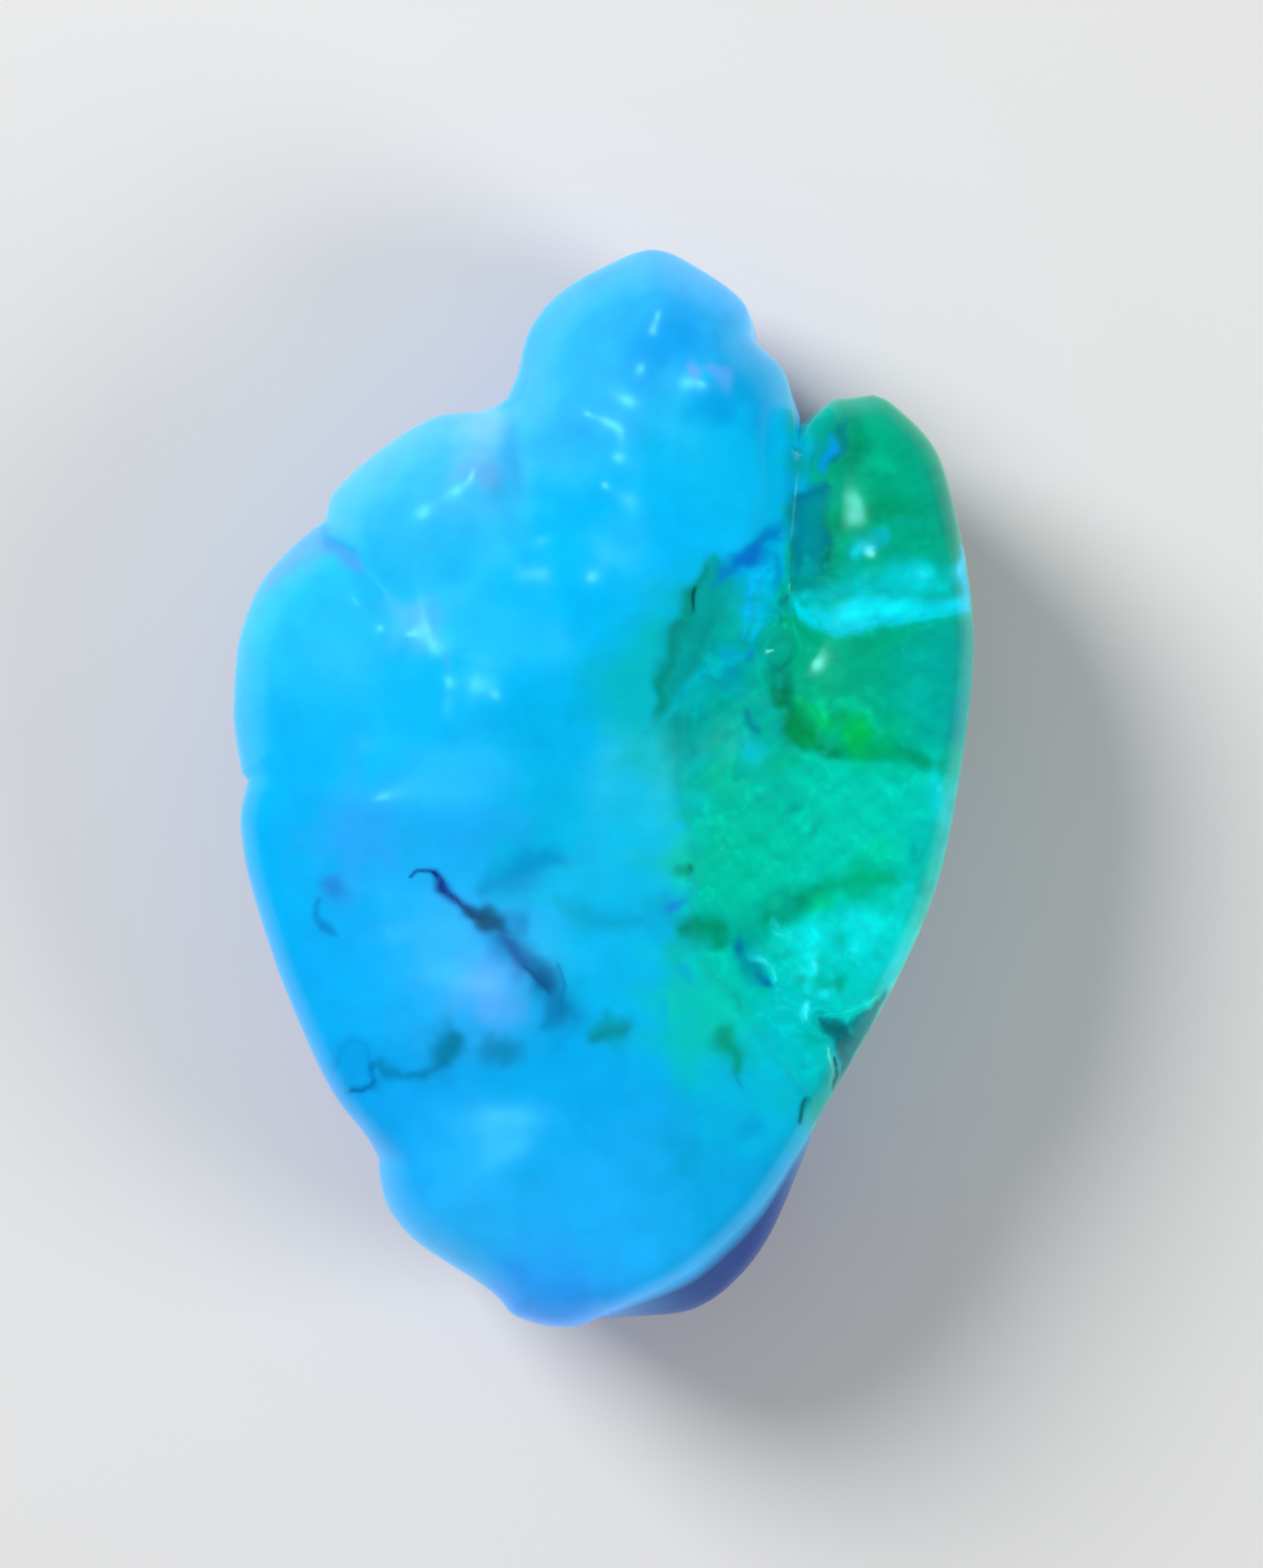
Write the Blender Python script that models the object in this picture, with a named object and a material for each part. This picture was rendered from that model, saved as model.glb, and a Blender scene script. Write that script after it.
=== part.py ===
"""A freeform of hyalite opal, 42 mm long, lying on its ground-flat back.

The stone is one solid. Seen from above, round lobes make its top and left side, two polished flanks
run down to a blunt tip, and a finger of clear opal stands at the upper right. X is to the right,
Y is along the stone and Z is up, out of its front. The front is a height over the outline: lobes,
bumps and creases. The side wall turns down and in from the outline to the flat back.
"""

import math
import random

import bmesh
import bpy
import numpy as np
from mathutils import Vector
from mathutils.geometry import delaunay_2d_cdt

MM = 0.001

# Driving sizes, in millimetres.
RIM_STEP = 0.84  # distance between neighbouring points on the outline
FRONT_STEP = 0.70  # distance between neighbouring points on the front
RIM_INSETS = (0.20, 0.62)  # closer rows of points just inside the outline
WALL_RINGS = 9
WALL_POWER = 2.5  # 2 is a round wall, more is a squarer one
WALL_CENTRE = (3.4, 1.4)  # the wall draws in towards this place, which sees every point of the outline
BACK_HEIGHT = 0.0
FRONT_FOOT = 8.6  # height at which the lobes of the front spring from the body
LOBE_BLEND = 1.1  # rounding where two lobes meet
EDGE_SPREAD = 1.6  # how far a rounded edge reaches in, in edge widths
CREASE_END = 1.2  # how slowly a crease fades out at its ends
CREASE_STEP = 0.3  # distance between the points along a crease
BELLY = 2.3  # how far the wall swells out under the lower right flank
BELLY_PLACE = (4.6, -17.6)
BELLY_REACH = 4.6
GROWTH_COUNT = 90  # round growths scattered on the side wall
GROWTH_RADII = (1.8, 3.6)
GROWTH_RISE = 0.68
GROWTH_SINK = 0.55  # how far a grown wall stands back so that its growths reach the outline again
GROWTH_TOP = 2.4  # below the rim by this much the growths have their full rise
GROWTH_SEED = 11

# The outline runs anticlockwise in stretches that meet at corners. Each has its rim height above
# the flat back, the width of its rounded edge, how far the wall draws in below it, and how much
# of the round growth its wall shows.
OUTLINE = (
    {"name": "shoulder", "rim": 7.2, "edge": 1.3, "under": 2.8, "growth": 1.0,
     "points": ((7.56, 13.02), (7.48, 14.10), (7.36, 15.25), (6.98, 16.28), (6.10, 17.17), (5.83, 17.55))},
    {"name": "crest", "rim": 7.0, "edge": 1.5, "under": 3.2, "growth": 1.0,
     "points": ((5.83, 17.55), (5.79, 18.12), (5.41, 18.97), (3.99, 20.04), (1.96, 20.92), (-0.38, 20.04),
                (-1.84, 19.08), (-2.65, 18.12), (-3.07, 17.16), (-3.26, 16.20), (-3.72, 15.13))},
    {"name": "upper_cheek", "rim": 6.8, "edge": 1.5, "under": 3.0, "growth": 1.0,
     "points": ((-3.72, 15.13), (-4.56, 14.67), (-5.60, 14.56), (-6.56, 14.40), (-7.90, 13.67),
                (-9.05, 12.83), (-10.01, 11.99), (-10.59, 11.30), (-10.82, 10.38))},
    {"name": "cheek", "rim": 6.8, "edge": 1.7, "under": 3.0, "growth": 1.0,
     "points": ((-10.82, 10.38), (-11.35, 9.99), (-12.31, 9.15), (-13.27, 8.04), (-13.88, 6.73),
                (-14.23, 5.47), (-14.38, 3.74), (-14.38, 2.40), (-14.08, 0.67), (-13.77, 0.21))},
    {"name": "left_flank", "rim": 7.9, "edge": 0.8, "under": 3.2, "growth": 0.2,
     "points": ((-13.77, 0.21), (-13.88, -0.21), (-14.04, -1.05), (-14.00, -2.01), (-13.62, -3.93),
                (-12.35, -7.77), (-10.62, -11.60), (-9.21, -13.52), (-8.71, -14.48))},
    {"name": "tip", "rim": 7.0, "edge": 1.5, "under": 3.2, "growth": 0.7,
     "points": ((-8.71, -14.48), (-8.67, -15.32), (-8.36, -16.40), (-7.52, -17.51), (-6.44, -18.31),
                (-4.91, -19.27), (-4.07, -19.93), (-3.57, -20.54), (-2.72, -20.89), (-1.76, -21.08),
                (-0.73, -20.96), (0.61, -20.27))},
    {"name": "right_flank", "rim": 8.2, "edge": 0.7, "under": 3.2, "growth": 0.1,
     "points": ((0.61, -20.27), (2.76, -19.27), (4.14, -18.31), (6.06, -16.40), (7.40, -14.48),
                (8.55, -12.56), (11.28, -7.77), (12.93, -3.93), (13.77, -0.10), (14.35, 4.30),
                (14.27, 7.58), (13.50, 11.41), (12.73, 13.33), (11.20, 14.86), (10.51, 15.21))},
    {"name": "finger", "rim": 7.6, "edge": 1.2, "under": 2.6, "growth": 0.5,
     "points": ((10.51, 15.21), (9.55, 15.09), (8.86, 14.98), (8.21, 14.29), (7.79, 13.60), (7.56, 13.02))},
)

# Lobes of the front: name, place, half widths, turn in degrees, and height of the top above the back.
LOBES = (
    ("body", (-1.0, -5.0), (17.0, 20.0), 0, 11.0),
    ("crest", (2.0, 14.4), (5.4, 6.4), 0, 11.0),
    ("crest_waist", (1.1, 7.7), (6.2, 6.0), 0, 11.4),
    ("shoulder", (4.8, 12.0), (3.8, 5.4), 0, 10.6),
    ("upper_cheek", (-6.4, 9.6), (5.6, 5.0), 35, 11.0),
    ("cheek", (-9.4, 4.6), (5.6, 6.2), 0, 10.9),
    ("inner_cheek", (-4.4, 3.4), (4.8, 4.8), 0, 11.5),
    ("lip", (-5.8, -0.6), (5.6, 3.2), 0, 11.7),
    ("pillow", (-5.2, -8.2), (6.2, 3.4), 0, 11.4),
    ("chin", (-3.7, -15.6), (5.8, 4.7), 0, 10.8),
    ("finger", (11.2, 6.8), (4.6, 9.2), 12, 10.5),
    ("clear_side", (8.0, -3.4), (7.6, 9.6), 20, 10.8),
)

# Small round bumps on the lobes: place, radius and rise.
BUMPS = (
    ((-7.10, 10.50), 1.4, 0.26), ((-4.60, 13.50), 1.2, 0.50), ((-4.60, 11.90), 1.1, 0.30),
    ((-1.00, 14.20), 1.1, 0.50), ((0.70, 13.35), 1.2, 0.30), ((-0.25, 11.60), 1.0, 0.36),
    ((1.50, 10.95), 1.2, 0.30), ((-3.20, 7.85), 1.2, 0.28), ((-0.55, 7.70), 1.2, 0.24),
    ((-7.30, 6.10), 1.3, 0.28), ((-9.35, 7.35), 1.1, 0.24), ((-6.05, 3.95), 0.9, 0.20),
    ((-6.15, 2.45), 0.9, 0.26), ((-3.85, 3.15), 1.0, 0.18), ((-9.20, -0.75), 1.1, 0.30),
    ((1.50, 16.05), 1.2, 0.28), ((2.30, 18.50), 1.2, 0.46), ((4.35, 15.45), 1.2, 0.34),
    ((-4.30, -15.00), 1.8, 0.36), ((-5.45, -15.90), 1.1, 0.16), ((-2.50, -13.95), 1.2, 0.16),
    ((-4.10, -7.90), 1.3, 0.16), ((10.45, 8.80), 1.1, 0.16), ((12.20, 7.80), 1.1, 0.20),
)

# Creases, open seams and a chip in the front: name, points along the line, half width and depth.
CREASES = (
    ("finger_crease", ((7.56, 13.6), (7.38, 11.2), (7.20, 9.0), (7.15, 7.2), (6.7, 5.2)), 0.80, 1.3),
    ("cheek_crease", ((-11.4, 10.4), (-10.3, 9.5), (-9.4, 8.6), (-8.3, 7.4), (-7.6, 5.6)), 0.65, 0.6),
    ("crest_crease", ((-3.6, 15.4), (-3.3, 13.2), (-3.1, 11.4), (-2.4, 9.6)), 0.70, 0.6),
    ("dark_seam", ((-7.6, -3.5), (-6.2, -3.4), (-5.2, -4.8), (-3.4, -5.6), (-2.1, -7.4), (-2.0, -9.4)), 0.55, 0.7),
    ("lower_seam", ((-10.0, -11.9), (-8.6, -11.0), (-6.8, -11.0), (-5.7, -10.2), (-3.8, -10.0)), 0.60, 0.5),
    ("edge_chip", ((8.2, -8.9), (9.4, -9.6), (9.3, -10.6), (8.9, -12.0)), 0.80, 0.7),
)


def smooth_curve(points, step):
    """Points every step or so along a smooth curve through the given points, the last one left out."""
    before = [2 * points[0][i] - points[1][i] for i in range(2)]
    after = [2 * points[-1][i] - points[-2][i] for i in range(2)]
    knots = np.array([before, *points, after], float)
    fine = []
    for a, b, c, d in zip(knots, knots[1:], knots[2:], knots[3:]):
        for t in np.linspace(0, 1, 24, endpoint=False):
            bend = (2 * a - 5 * b + 4 * c - d) * t**2 + (3 * b - a - 3 * c + d) * t**3
            fine.append(0.5 * (2 * b + (c - a) * t + bend))
    fine = np.array([*fine, knots[-2]])
    along = np.concatenate([[0], np.cumsum(np.linalg.norm(np.diff(fine, axis=0), axis=1))])
    wanted = np.linspace(0, along[-1], max(2, round(along[-1] / step)) + 1)[:-1]
    return np.column_stack([np.interp(wanted, along, fine[:, i]) for i in range(2)])


def outline_points(step):
    """The outline's points, and for each its rim height, edge width, undercut and growth."""
    places, values = [], []
    for stretch in OUTLINE:
        found = smooth_curve(stretch["points"], step)
        places.append(found)
        values.append(np.tile([stretch[key] for key in ("rim", "edge", "under", "growth")], (len(found), 1)))
    return np.vstack(places), np.vstack(values)


def rim_values_at(xy, outline, values):
    """Rim values at any place, blended from the outline's points with the nearest counting most."""
    apart = np.sum((xy[:, None] - outline[None]) ** 2, axis=2)
    weights = 1 / (apart + 0.8) ** 2
    return weights @ values / weights.sum(axis=1)[:, None]


def distance_to_line(xy, points):
    """Distance from each place to a line through the given points."""
    nearest = np.full(len(xy), np.inf)
    for start, end in zip(points, points[1:]):
        run = end - start
        t = np.clip((xy - start) @ run / (run @ run), 0, 1)
        nearest = np.minimum(nearest, np.linalg.norm(xy - start - t[:, None] * run, axis=1))
    return nearest


def smooth_max(a, b, blend):
    """The larger of two heights, with the corner where they cross rounded off."""
    share = np.clip(0.5 + 0.5 * (a - b) / blend, 0, 1)
    return b + (a - b) * share + blend * share * (1 - share)


def dome(xy, place, half, turn, top):
    """Height of an elliptical dome on the body, going on down as a slope outside its edge."""
    angle = math.radians(turn)
    x, y = (xy - place).T
    across = (x * math.cos(angle) + y * math.sin(angle)) / half[0]
    along = (y * math.cos(angle) - x * math.sin(angle)) / half[1]
    away = np.hypot(across, along)
    return FRONT_FOOT + (top - FRONT_FOOT) * np.sqrt(np.clip(1 - away**2, 0, 1)) - 3 * np.clip(away - 1, 0, None)


def front_height(xy, outline, values):
    """Height of the front above the flat back at each place inside the outline."""
    lobed = np.full(len(xy), BACK_HEIGHT)
    for _, place, half, turn, top in LOBES:
        lobed = smooth_max(lobed, dome(xy, place, half, turn, top), LOBE_BLEND)
    for place, radius, rise in BUMPS:
        lobed += rise * np.exp(-((np.linalg.norm(xy - place, axis=1) / radius) ** 2))
    for _, points, width, depth in CREASES:
        away = distance_to_line(xy, smooth_curve(points, CREASE_STEP))
        for end in (points[0], points[-1]):
            depth = depth * (1 - np.exp(-((np.linalg.norm(xy - end, axis=1) / CREASE_END) ** 2)))
        lobed -= depth * np.exp(-((away / width) ** 2))
    rim, edge = rim_values_at(xy, outline, values).T[:2]
    inside = distance_to_line(xy, np.vstack([outline, outline[:1]]))
    rise = np.sqrt(1 - (1 - np.clip(inside / (edge * EDGE_SPREAD), 0, 1)) ** 2)
    return rim + np.maximum(lobed - rim, 0.3) * rise


def inside_places(outline):
    """Places on the front: rows just inside the outline and along the creases, then an even grid."""
    ahead, behind = np.roll(outline, -1, axis=0), np.roll(outline, 1, axis=0)
    tangent = ahead - behind
    inward = np.column_stack([-tangent[:, 1], tangent[:, 0]]) / np.linalg.norm(tangent, axis=1)[:, None]
    closed = np.vstack([outline, outline[:1]])
    kept = []
    for inset in RIM_INSETS:
        row = outline + inward * inset
        kept.append(row[distance_to_line(row, closed) > 0.93 * inset])
    low, high = outline.min(axis=0), outline.max(axis=0)
    grid = []
    for k, y in enumerate(np.arange(low[1], high[1], FRONT_STEP * math.sqrt(0.75))):
        for x in np.arange(low[0] + FRONT_STEP / 2 * (k % 2), high[0], FRONT_STEP):
            grid.append((x, y))
    creases = np.vstack([smooth_curve(points, FRONT_STEP) for _, points, _, _ in CREASES])
    apart = np.linalg.norm(np.array(grid)[:, None] - creases[None], axis=2).min(axis=1)
    free = np.vstack([creases, np.array(grid)[apart > 0.6 * FRONT_STEP]])
    free = free[distance_to_line(free, closed) > RIM_INSETS[-1] + 0.55 * FRONT_STEP]
    return np.vstack([*kept, free])


def front_sheet(outline, values):
    """The front's points, the outline's first, and its triangles."""
    places = np.vstack([outline, inside_places(outline)])
    count = len(outline)
    edges = [(i, (i + 1) % count) for i in range(count)]
    flat, _, triangles, origins, _, _ = delaunay_2d_cdt([Vector(p) for p in places], edges, [], 1, 1e-5)
    xy = np.array([places[origin[0]] for origin in origins])
    on_rim = np.array([origin[0] < count for origin in origins])
    height = np.where(on_rim, rim_values_at(xy, outline, values)[:, 0], front_height(xy, outline, values))
    order = {origin[0]: k for k, origin in enumerate(origins)}
    return np.column_stack([xy, height]), triangles, [order[i] for i in range(count)]


def wall_rings(outline, values):
    """Rings of points down the side wall and in to the edge of the flat back."""
    outward = outline - np.array(WALL_CENTRE)
    outward /= np.linalg.norm(outward, axis=1)[:, None]
    rim, _, under, growth = rim_values_at(outline, outline, values).T
    belly = BELLY * np.exp(-((np.linalg.norm(outline - BELLY_PLACE, axis=1) / BELLY_REACH) ** 2))
    rings = []
    for k in range(1, WALL_RINGS + 1):
        turn = math.pi / 2 * k / WALL_RINGS
        drop = math.sin(turn) ** (2 / WALL_POWER) if k < WALL_RINGS else 1
        draw = under * (1 - math.cos(turn) ** (2 / WALL_POWER)) if k < WALL_RINGS else under
        middle = math.sin(math.pi * drop)
        xy = outline + outward * (belly * middle - growth * GROWTH_SINK * middle - draw)[:, None]
        rings.append(np.column_stack([xy, rim * (1 - drop)]))
    return rings


def raise_growths(verts, outline, values):
    """Swells the side wall over round growths, and leaves the rim and the flat back where they are."""
    chance = random.Random(GROWTH_SEED)
    places = np.array([v.co for v in verts])
    rim, _, _, growth = rim_values_at(places[:, :2], outline, values).T
    raised = np.zeros(len(places))
    for _ in range(GROWTH_COUNT):
        centre = places[chance.randrange(len(places))]
        radius, rise = chance.uniform(*GROWTH_RADII), GROWTH_RISE * chance.uniform(0.5, 1)
        away = np.linalg.norm(places - centre, axis=1) / radius
        raised = np.maximum(raised, rise * np.sqrt(np.clip(1 - away**2, 0, 1)))
    raised *= growth * np.clip(places[:, 2] / 1.6, 0, 1) * np.clip((rim - places[:, 2]) / GROWTH_TOP, 0, 1)
    for vert, lift in zip(verts, raised):
        vert.co += vert.normal * float(lift)


def stone_mesh():
    """The whole skin as one closed mesh, in millimetres."""
    outline, values = outline_points(RIM_STEP)
    count = len(outline)
    bm = bmesh.new()
    points, triangles, rim = front_sheet(outline, values)
    front = [bm.verts.new(p) for p in points]
    for triangle in triangles:
        bm.faces.new([front[i] for i in triangle])
    rings = [[front[i] for i in rim]]
    for ring in wall_rings(outline, values):
        rings.append([bm.verts.new(p) for p in ring])
    for upper, lower in zip(rings, rings[1:]):
        for i in range(count):
            j = (i + 1) % count
            bm.faces.new((upper[i], lower[i], lower[j], upper[j]))
    bm.faces.new(list(reversed(rings[-1])))
    bmesh.ops.recalc_face_normals(bm, faces=bm.faces)
    bm.normal_update()
    raise_growths([v for ring in rings[1:-1] for v in ring], outline, values)
    bmesh.ops.triangulate(bm, faces=bm.faces)
    return bm, outline


def centre_on_origin(bm, outline):
    """Moves the stone so that its outline is centred over the origin."""
    middle = (outline.min(axis=0) + outline.max(axis=0)) / 2
    bmesh.ops.translate(bm, verts=bm.verts, vec=(-middle[0], -middle[1], 0))


def opal_material():
    """Milky, slightly glassy opal."""
    material = bpy.data.materials.new("milky_opal")
    material.use_nodes = True
    surface = material.node_tree.nodes["Principled BSDF"]
    surface.inputs["Base Color"].default_value = (0.01, 0.45, 0.90, 1)
    surface.inputs["Roughness"].default_value = 0.15
    surface.inputs["Metallic"].default_value = 0.0
    return material


def main():
    for old in list(bpy.data.objects):
        bpy.data.objects.remove(old, do_unlink=True)
    bm, outline = stone_mesh()
    centre_on_origin(bm, outline)
    bmesh.ops.scale(bm, vec=(MM, MM, MM), verts=bm.verts)
    mesh = bpy.data.meshes.new("hyalite_opal")
    bm.to_mesh(mesh)
    bm.free()
    mesh.shade_smooth()
    mesh.materials.append(opal_material())
    stone = bpy.data.objects.new("hyalite_opal", mesh)
    bpy.context.scene.collection.objects.link(stone)


main()
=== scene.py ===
import math
import random

import bpy
import numpy as np
from mathutils import Matrix, Vector
from mathutils.geometry import delaunay_2d_cdt


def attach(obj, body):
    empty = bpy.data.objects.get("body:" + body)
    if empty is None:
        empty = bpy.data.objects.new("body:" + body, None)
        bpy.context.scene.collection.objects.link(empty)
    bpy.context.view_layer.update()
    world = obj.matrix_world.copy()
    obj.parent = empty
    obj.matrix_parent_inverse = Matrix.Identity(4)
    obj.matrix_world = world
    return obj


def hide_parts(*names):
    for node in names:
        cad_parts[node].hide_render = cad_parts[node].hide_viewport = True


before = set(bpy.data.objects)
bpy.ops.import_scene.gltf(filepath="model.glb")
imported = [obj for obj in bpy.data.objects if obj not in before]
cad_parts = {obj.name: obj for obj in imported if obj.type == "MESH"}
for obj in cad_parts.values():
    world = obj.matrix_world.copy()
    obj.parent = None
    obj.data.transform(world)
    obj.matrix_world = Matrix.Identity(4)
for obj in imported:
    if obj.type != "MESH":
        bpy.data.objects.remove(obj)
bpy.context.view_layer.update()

mm = 0.001

# Lengths below are in millimetres, X to the right of the front, Y up along the stone, Z out of its front.
stone = {
    "rimStep": 0.22,         # spacing of points on the outline
    "frontStep": 0.16,       # spacing of points on the front
    "rimInsets": (0.06, 0.15, 0.28, 0.44),
    "wallRings": 34,
    "wallPower": 2.5,        # 2 is a round wall, more is squarer
    "wallCentre": (3.4, 1.4),
    "frontFoot": 8.6,        # where the lobes spring from the body
    "lobeBlend": 1.1,        # rounding where two lobes meet
    "easing": (0.45, 0.85),
    "edgeSpread": 1.6,       # how far a rounded edge reaches in, in edge widths
    "creaseEnd": 1.2,        # how slowly a crease fades out at its ends
    "belly": 2.3,            # swelling of the wall under the lower right flank
    "bellyPlace": (4.6, -17.6),
    "bellyReach": 4.6,
    "growthCount": 90,       # round growths on the side wall
    "growthRadii": (1.8, 3.6),
    "growthRise": 0.68,
    "growthSink": 0.55,
    "growthTop": 2.4,        # below the rim by this much the growths have their full rise
    "growthSeed": 11,
}

# Outline, anticlockwise: rim height, edge width, undercut and wall growth, then the points.
outlineStretches = {
    "shoulder": ((7.2, 1.3, 2.8, 1.0),
                 ((7.56, 13.02), (7.48, 14.10), (7.36, 15.25), (6.98, 16.28), (6.10, 17.17), (5.83, 17.55))),
    "crest": ((7.0, 1.5, 3.2, 1.0),
              ((5.83, 17.55), (5.79, 18.12), (5.41, 18.97), (3.99, 20.04), (1.96, 20.92), (-0.38, 20.04),
               (-1.84, 19.08), (-2.65, 18.12), (-3.07, 17.16), (-3.26, 16.20), (-3.72, 15.13))),
    "upperCheek": ((6.8, 1.5, 3.0, 1.0),
                   ((-3.72, 15.13), (-4.56, 14.67), (-5.60, 14.56), (-6.56, 14.40), (-7.90, 13.67),
                    (-9.05, 12.83), (-10.01, 11.99), (-10.59, 11.30), (-10.82, 10.38))),
    "cheek": ((6.8, 1.7, 3.0, 1.0),
              ((-10.82, 10.38), (-11.35, 9.99), (-12.31, 9.15), (-13.27, 8.04), (-13.88, 6.73),
               (-14.23, 5.47), (-14.38, 3.74), (-14.38, 2.40), (-14.08, 0.67), (-13.77, 0.21))),
    "leftFlank": ((7.9, 0.8, 3.2, 0.2),
                  ((-13.77, 0.21), (-13.88, -0.21), (-14.04, -1.05), (-14.00, -2.01), (-13.62, -3.93),
                   (-12.35, -7.77), (-10.62, -11.60), (-9.21, -13.52), (-8.71, -14.48))),
    "tip": ((7.0, 1.5, 3.2, 0.7),
            ((-8.71, -14.48), (-8.67, -15.32), (-8.36, -16.40), (-7.52, -17.51), (-6.44, -18.31),
             (-4.91, -19.27), (-4.07, -19.93), (-3.57, -20.54), (-2.72, -20.89), (-1.76, -21.08),
             (-0.73, -20.96), (0.61, -20.27))),
    "rightFlank": ((8.2, 0.7, 3.2, 0.1),
                   ((0.61, -20.27), (2.76, -19.27), (4.14, -18.31), (6.06, -16.40), (7.40, -14.48),
                    (8.55, -12.56), (11.28, -7.77), (12.93, -3.93), (13.77, -0.10), (14.35, 4.30),
                    (14.27, 7.58), (13.50, 11.41), (12.73, 13.33), (11.20, 14.86), (10.51, 15.21))),
    "finger": ((7.6, 1.2, 2.6, 0.5),
               ((10.51, 15.21), (9.55, 15.09), (8.86, 14.98), (8.21, 14.29), (7.79, 13.60), (7.56, 13.02))),
}

# Lobes of the front: place, half widths, turn in degrees, height of the top.
lobes = {
    "body": ((-1.0, -5.0), (17.0, 20.0), 0, 11.0),
    "crest": ((2.0, 14.4), (5.4, 6.4), 0, 11.0),
    "crestWaist": ((1.1, 7.7), (6.2, 6.0), 0, 11.4),
    "shoulder": ((4.8, 12.0), (3.8, 5.4), 0, 10.6),
    "upperCheek": ((-6.4, 9.6), (5.6, 5.0), 35, 11.0),
    "cheek": ((-9.4, 4.6), (5.6, 6.2), 0, 10.9),
    "innerCheek": ((-4.4, 3.4), (4.8, 4.8), 0, 11.5),
    "lip": ((-5.8, -0.6), (5.6, 3.2), 0, 11.7),
    "pillow": ((-5.2, -8.2), (6.2, 3.4), 0, 11.4),
    "chin": ((-3.7, -15.6), (5.8, 4.7), 0, 10.8),
    "finger": ((11.2, 6.8), (4.6, 9.2), 12, 10.5),
    "clearSide": ((8.0, -3.4), (7.6, 9.6), 20, 10.8),
}

# Small round bumps: place, radius, rise.
bumps = (
    ((-7.10, 10.50), 1.9, 0.26), ((-4.60, 13.50), 1.2, 0.50), ((-4.60, 11.90), 1.1, 0.30),
    ((-1.00, 14.20), 1.1, 0.50), ((0.70, 13.35), 1.2, 0.30), ((-0.25, 11.60), 1.0, 0.36),
    ((1.50, 10.95), 1.7, 0.30), ((-3.20, 7.85), 1.2, 0.28), ((-0.55, 7.70), 1.2, 0.24),
    ((-7.30, 6.10), 1.3, 0.28), ((-9.35, 7.35), 1.1, 0.24), ((-6.05, 3.95), 0.9, 0.20),
    ((-6.15, 2.45), 0.9, 0.26), ((-3.85, 3.15), 1.0, 0.18), ((-9.20, -0.75), 1.1, 0.30),
    ((1.50, 16.05), 1.2, 0.28), ((2.30, 18.50), 1.2, 0.46), ((4.35, 15.45), 1.2, 0.34),
    ((-4.30, -15.00), 1.8, 0.36), ((-5.45, -15.90), 1.1, 0.16), ((-2.50, -13.95), 1.2, 0.16),
    ((-4.10, -7.90), 1.3, 0.16), ((10.45, 8.80), 1.1, 0.16), ((12.20, 7.80), 1.1, 0.20),
)

# Creases and open seams: points, half width, depth.
creases = {
    "finger": (((7.56, 13.6), (7.38, 11.2), (7.20, 9.0), (7.15, 7.2), (6.7, 5.2)), 0.80, 1.3),
    "cheek": (((-11.4, 10.4), (-10.3, 9.5), (-9.4, 8.6), (-8.3, 7.4), (-7.6, 5.6)), 0.65, 0.6),
    "crest": (((-3.6, 15.4), (-3.3, 13.2), (-3.1, 11.4), (-2.4, 9.6)), 0.70, 0.6),
    "darkSeam": (((-7.6, -3.5), (-6.2, -3.4), (-5.2, -4.8), (-3.4, -5.6), (-2.1, -7.4), (-2.0, -9.4)), 0.55, 0.02),
    "lowerSeam": (((-10.0, -11.9), (-8.6, -11.0), (-6.8, -11.0), (-5.7, -10.2), (-3.8, -10.0)), 0.60, 0.02),
    "edgeChip": (((8.2, -8.9), (9.4, -9.6), (9.3, -10.6), (8.9, -12.0)), 0.80, 0.7),
}

# The clear part of the stone, seen from the front. The line is where the milk begins, top to bottom.
clearPart = {
    "line": ((7.5, 13.6), (7.4, 11.4), (7.2, 10.3), (6.5, 10.0), (5.6, 9.3), (4.4, 8.5), (3.5, 7.8), (2.7, 6.0),
             (1.9, 4.0), (1.5, 1.6), (1.8, -0.9), (2.2, -3.2), (2.0, -5.4), (2.8, -7.6), (4.4, -9.6),
             (6.0, -11.8), (7.9, -14.4)),
    "farSide": ((20.0, -14.4), (20.0, 18.0), (8.2, 18.0)),
    "depth": 4.6,            # how far the milk lies under the front at most
    "fall": 2.9,             # how slowly it gets there
    "topFall": 1.3,          # the same at the upper end, where the edge is sharper
    "cover": 0.12,           # least thickness of opal over the milk
    "clearing": (0.10, 1.3),  # thickness over the milk at which the skin begins to clear, and is clear
    "lowest": 1.6,
    "unevenness": 0.35,
    "step": 0.14,
    "inset": 0.42,           # gap between the milk's edge and the wall
    "rimCloud": (1.3, 0.5),  # within this of the rim the skin is cloudy, and by how much
}


def smoothCurve(points, step):
    before = [2 * points[0][i] - points[1][i] for i in range(2)]
    after = [2 * points[-1][i] - points[-2][i] for i in range(2)]
    knots = np.array([before, *points, after], float)
    fine = []
    for a, b, c, d in zip(knots, knots[1:], knots[2:], knots[3:]):
        for t in np.linspace(0, 1, 24, endpoint=False):
            bend = (2 * a - 5 * b + 4 * c - d) * t**2 + (3 * b - a - 3 * c + d) * t**3
            fine.append(0.5 * (2 * b + (c - a) * t + bend))
    fine = np.array([*fine, knots[-2]])
    along = np.concatenate([[0], np.cumsum(np.linalg.norm(np.diff(fine, axis=0), axis=1))])
    wanted = np.linspace(0, along[-1], max(2, round(along[-1] / step)) + 1)[:-1]
    return np.column_stack([np.interp(wanted, along, fine[:, i]) for i in range(2)])


def outlinePoints(step):
    places, values = [], []
    for rimValues, points in outlineStretches.values():
        found = smoothCurve(points, step)
        places.append(found)
        values.append(np.tile(rimValues, (len(found), 1)))
    return np.vstack(places), np.vstack(values)


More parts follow.
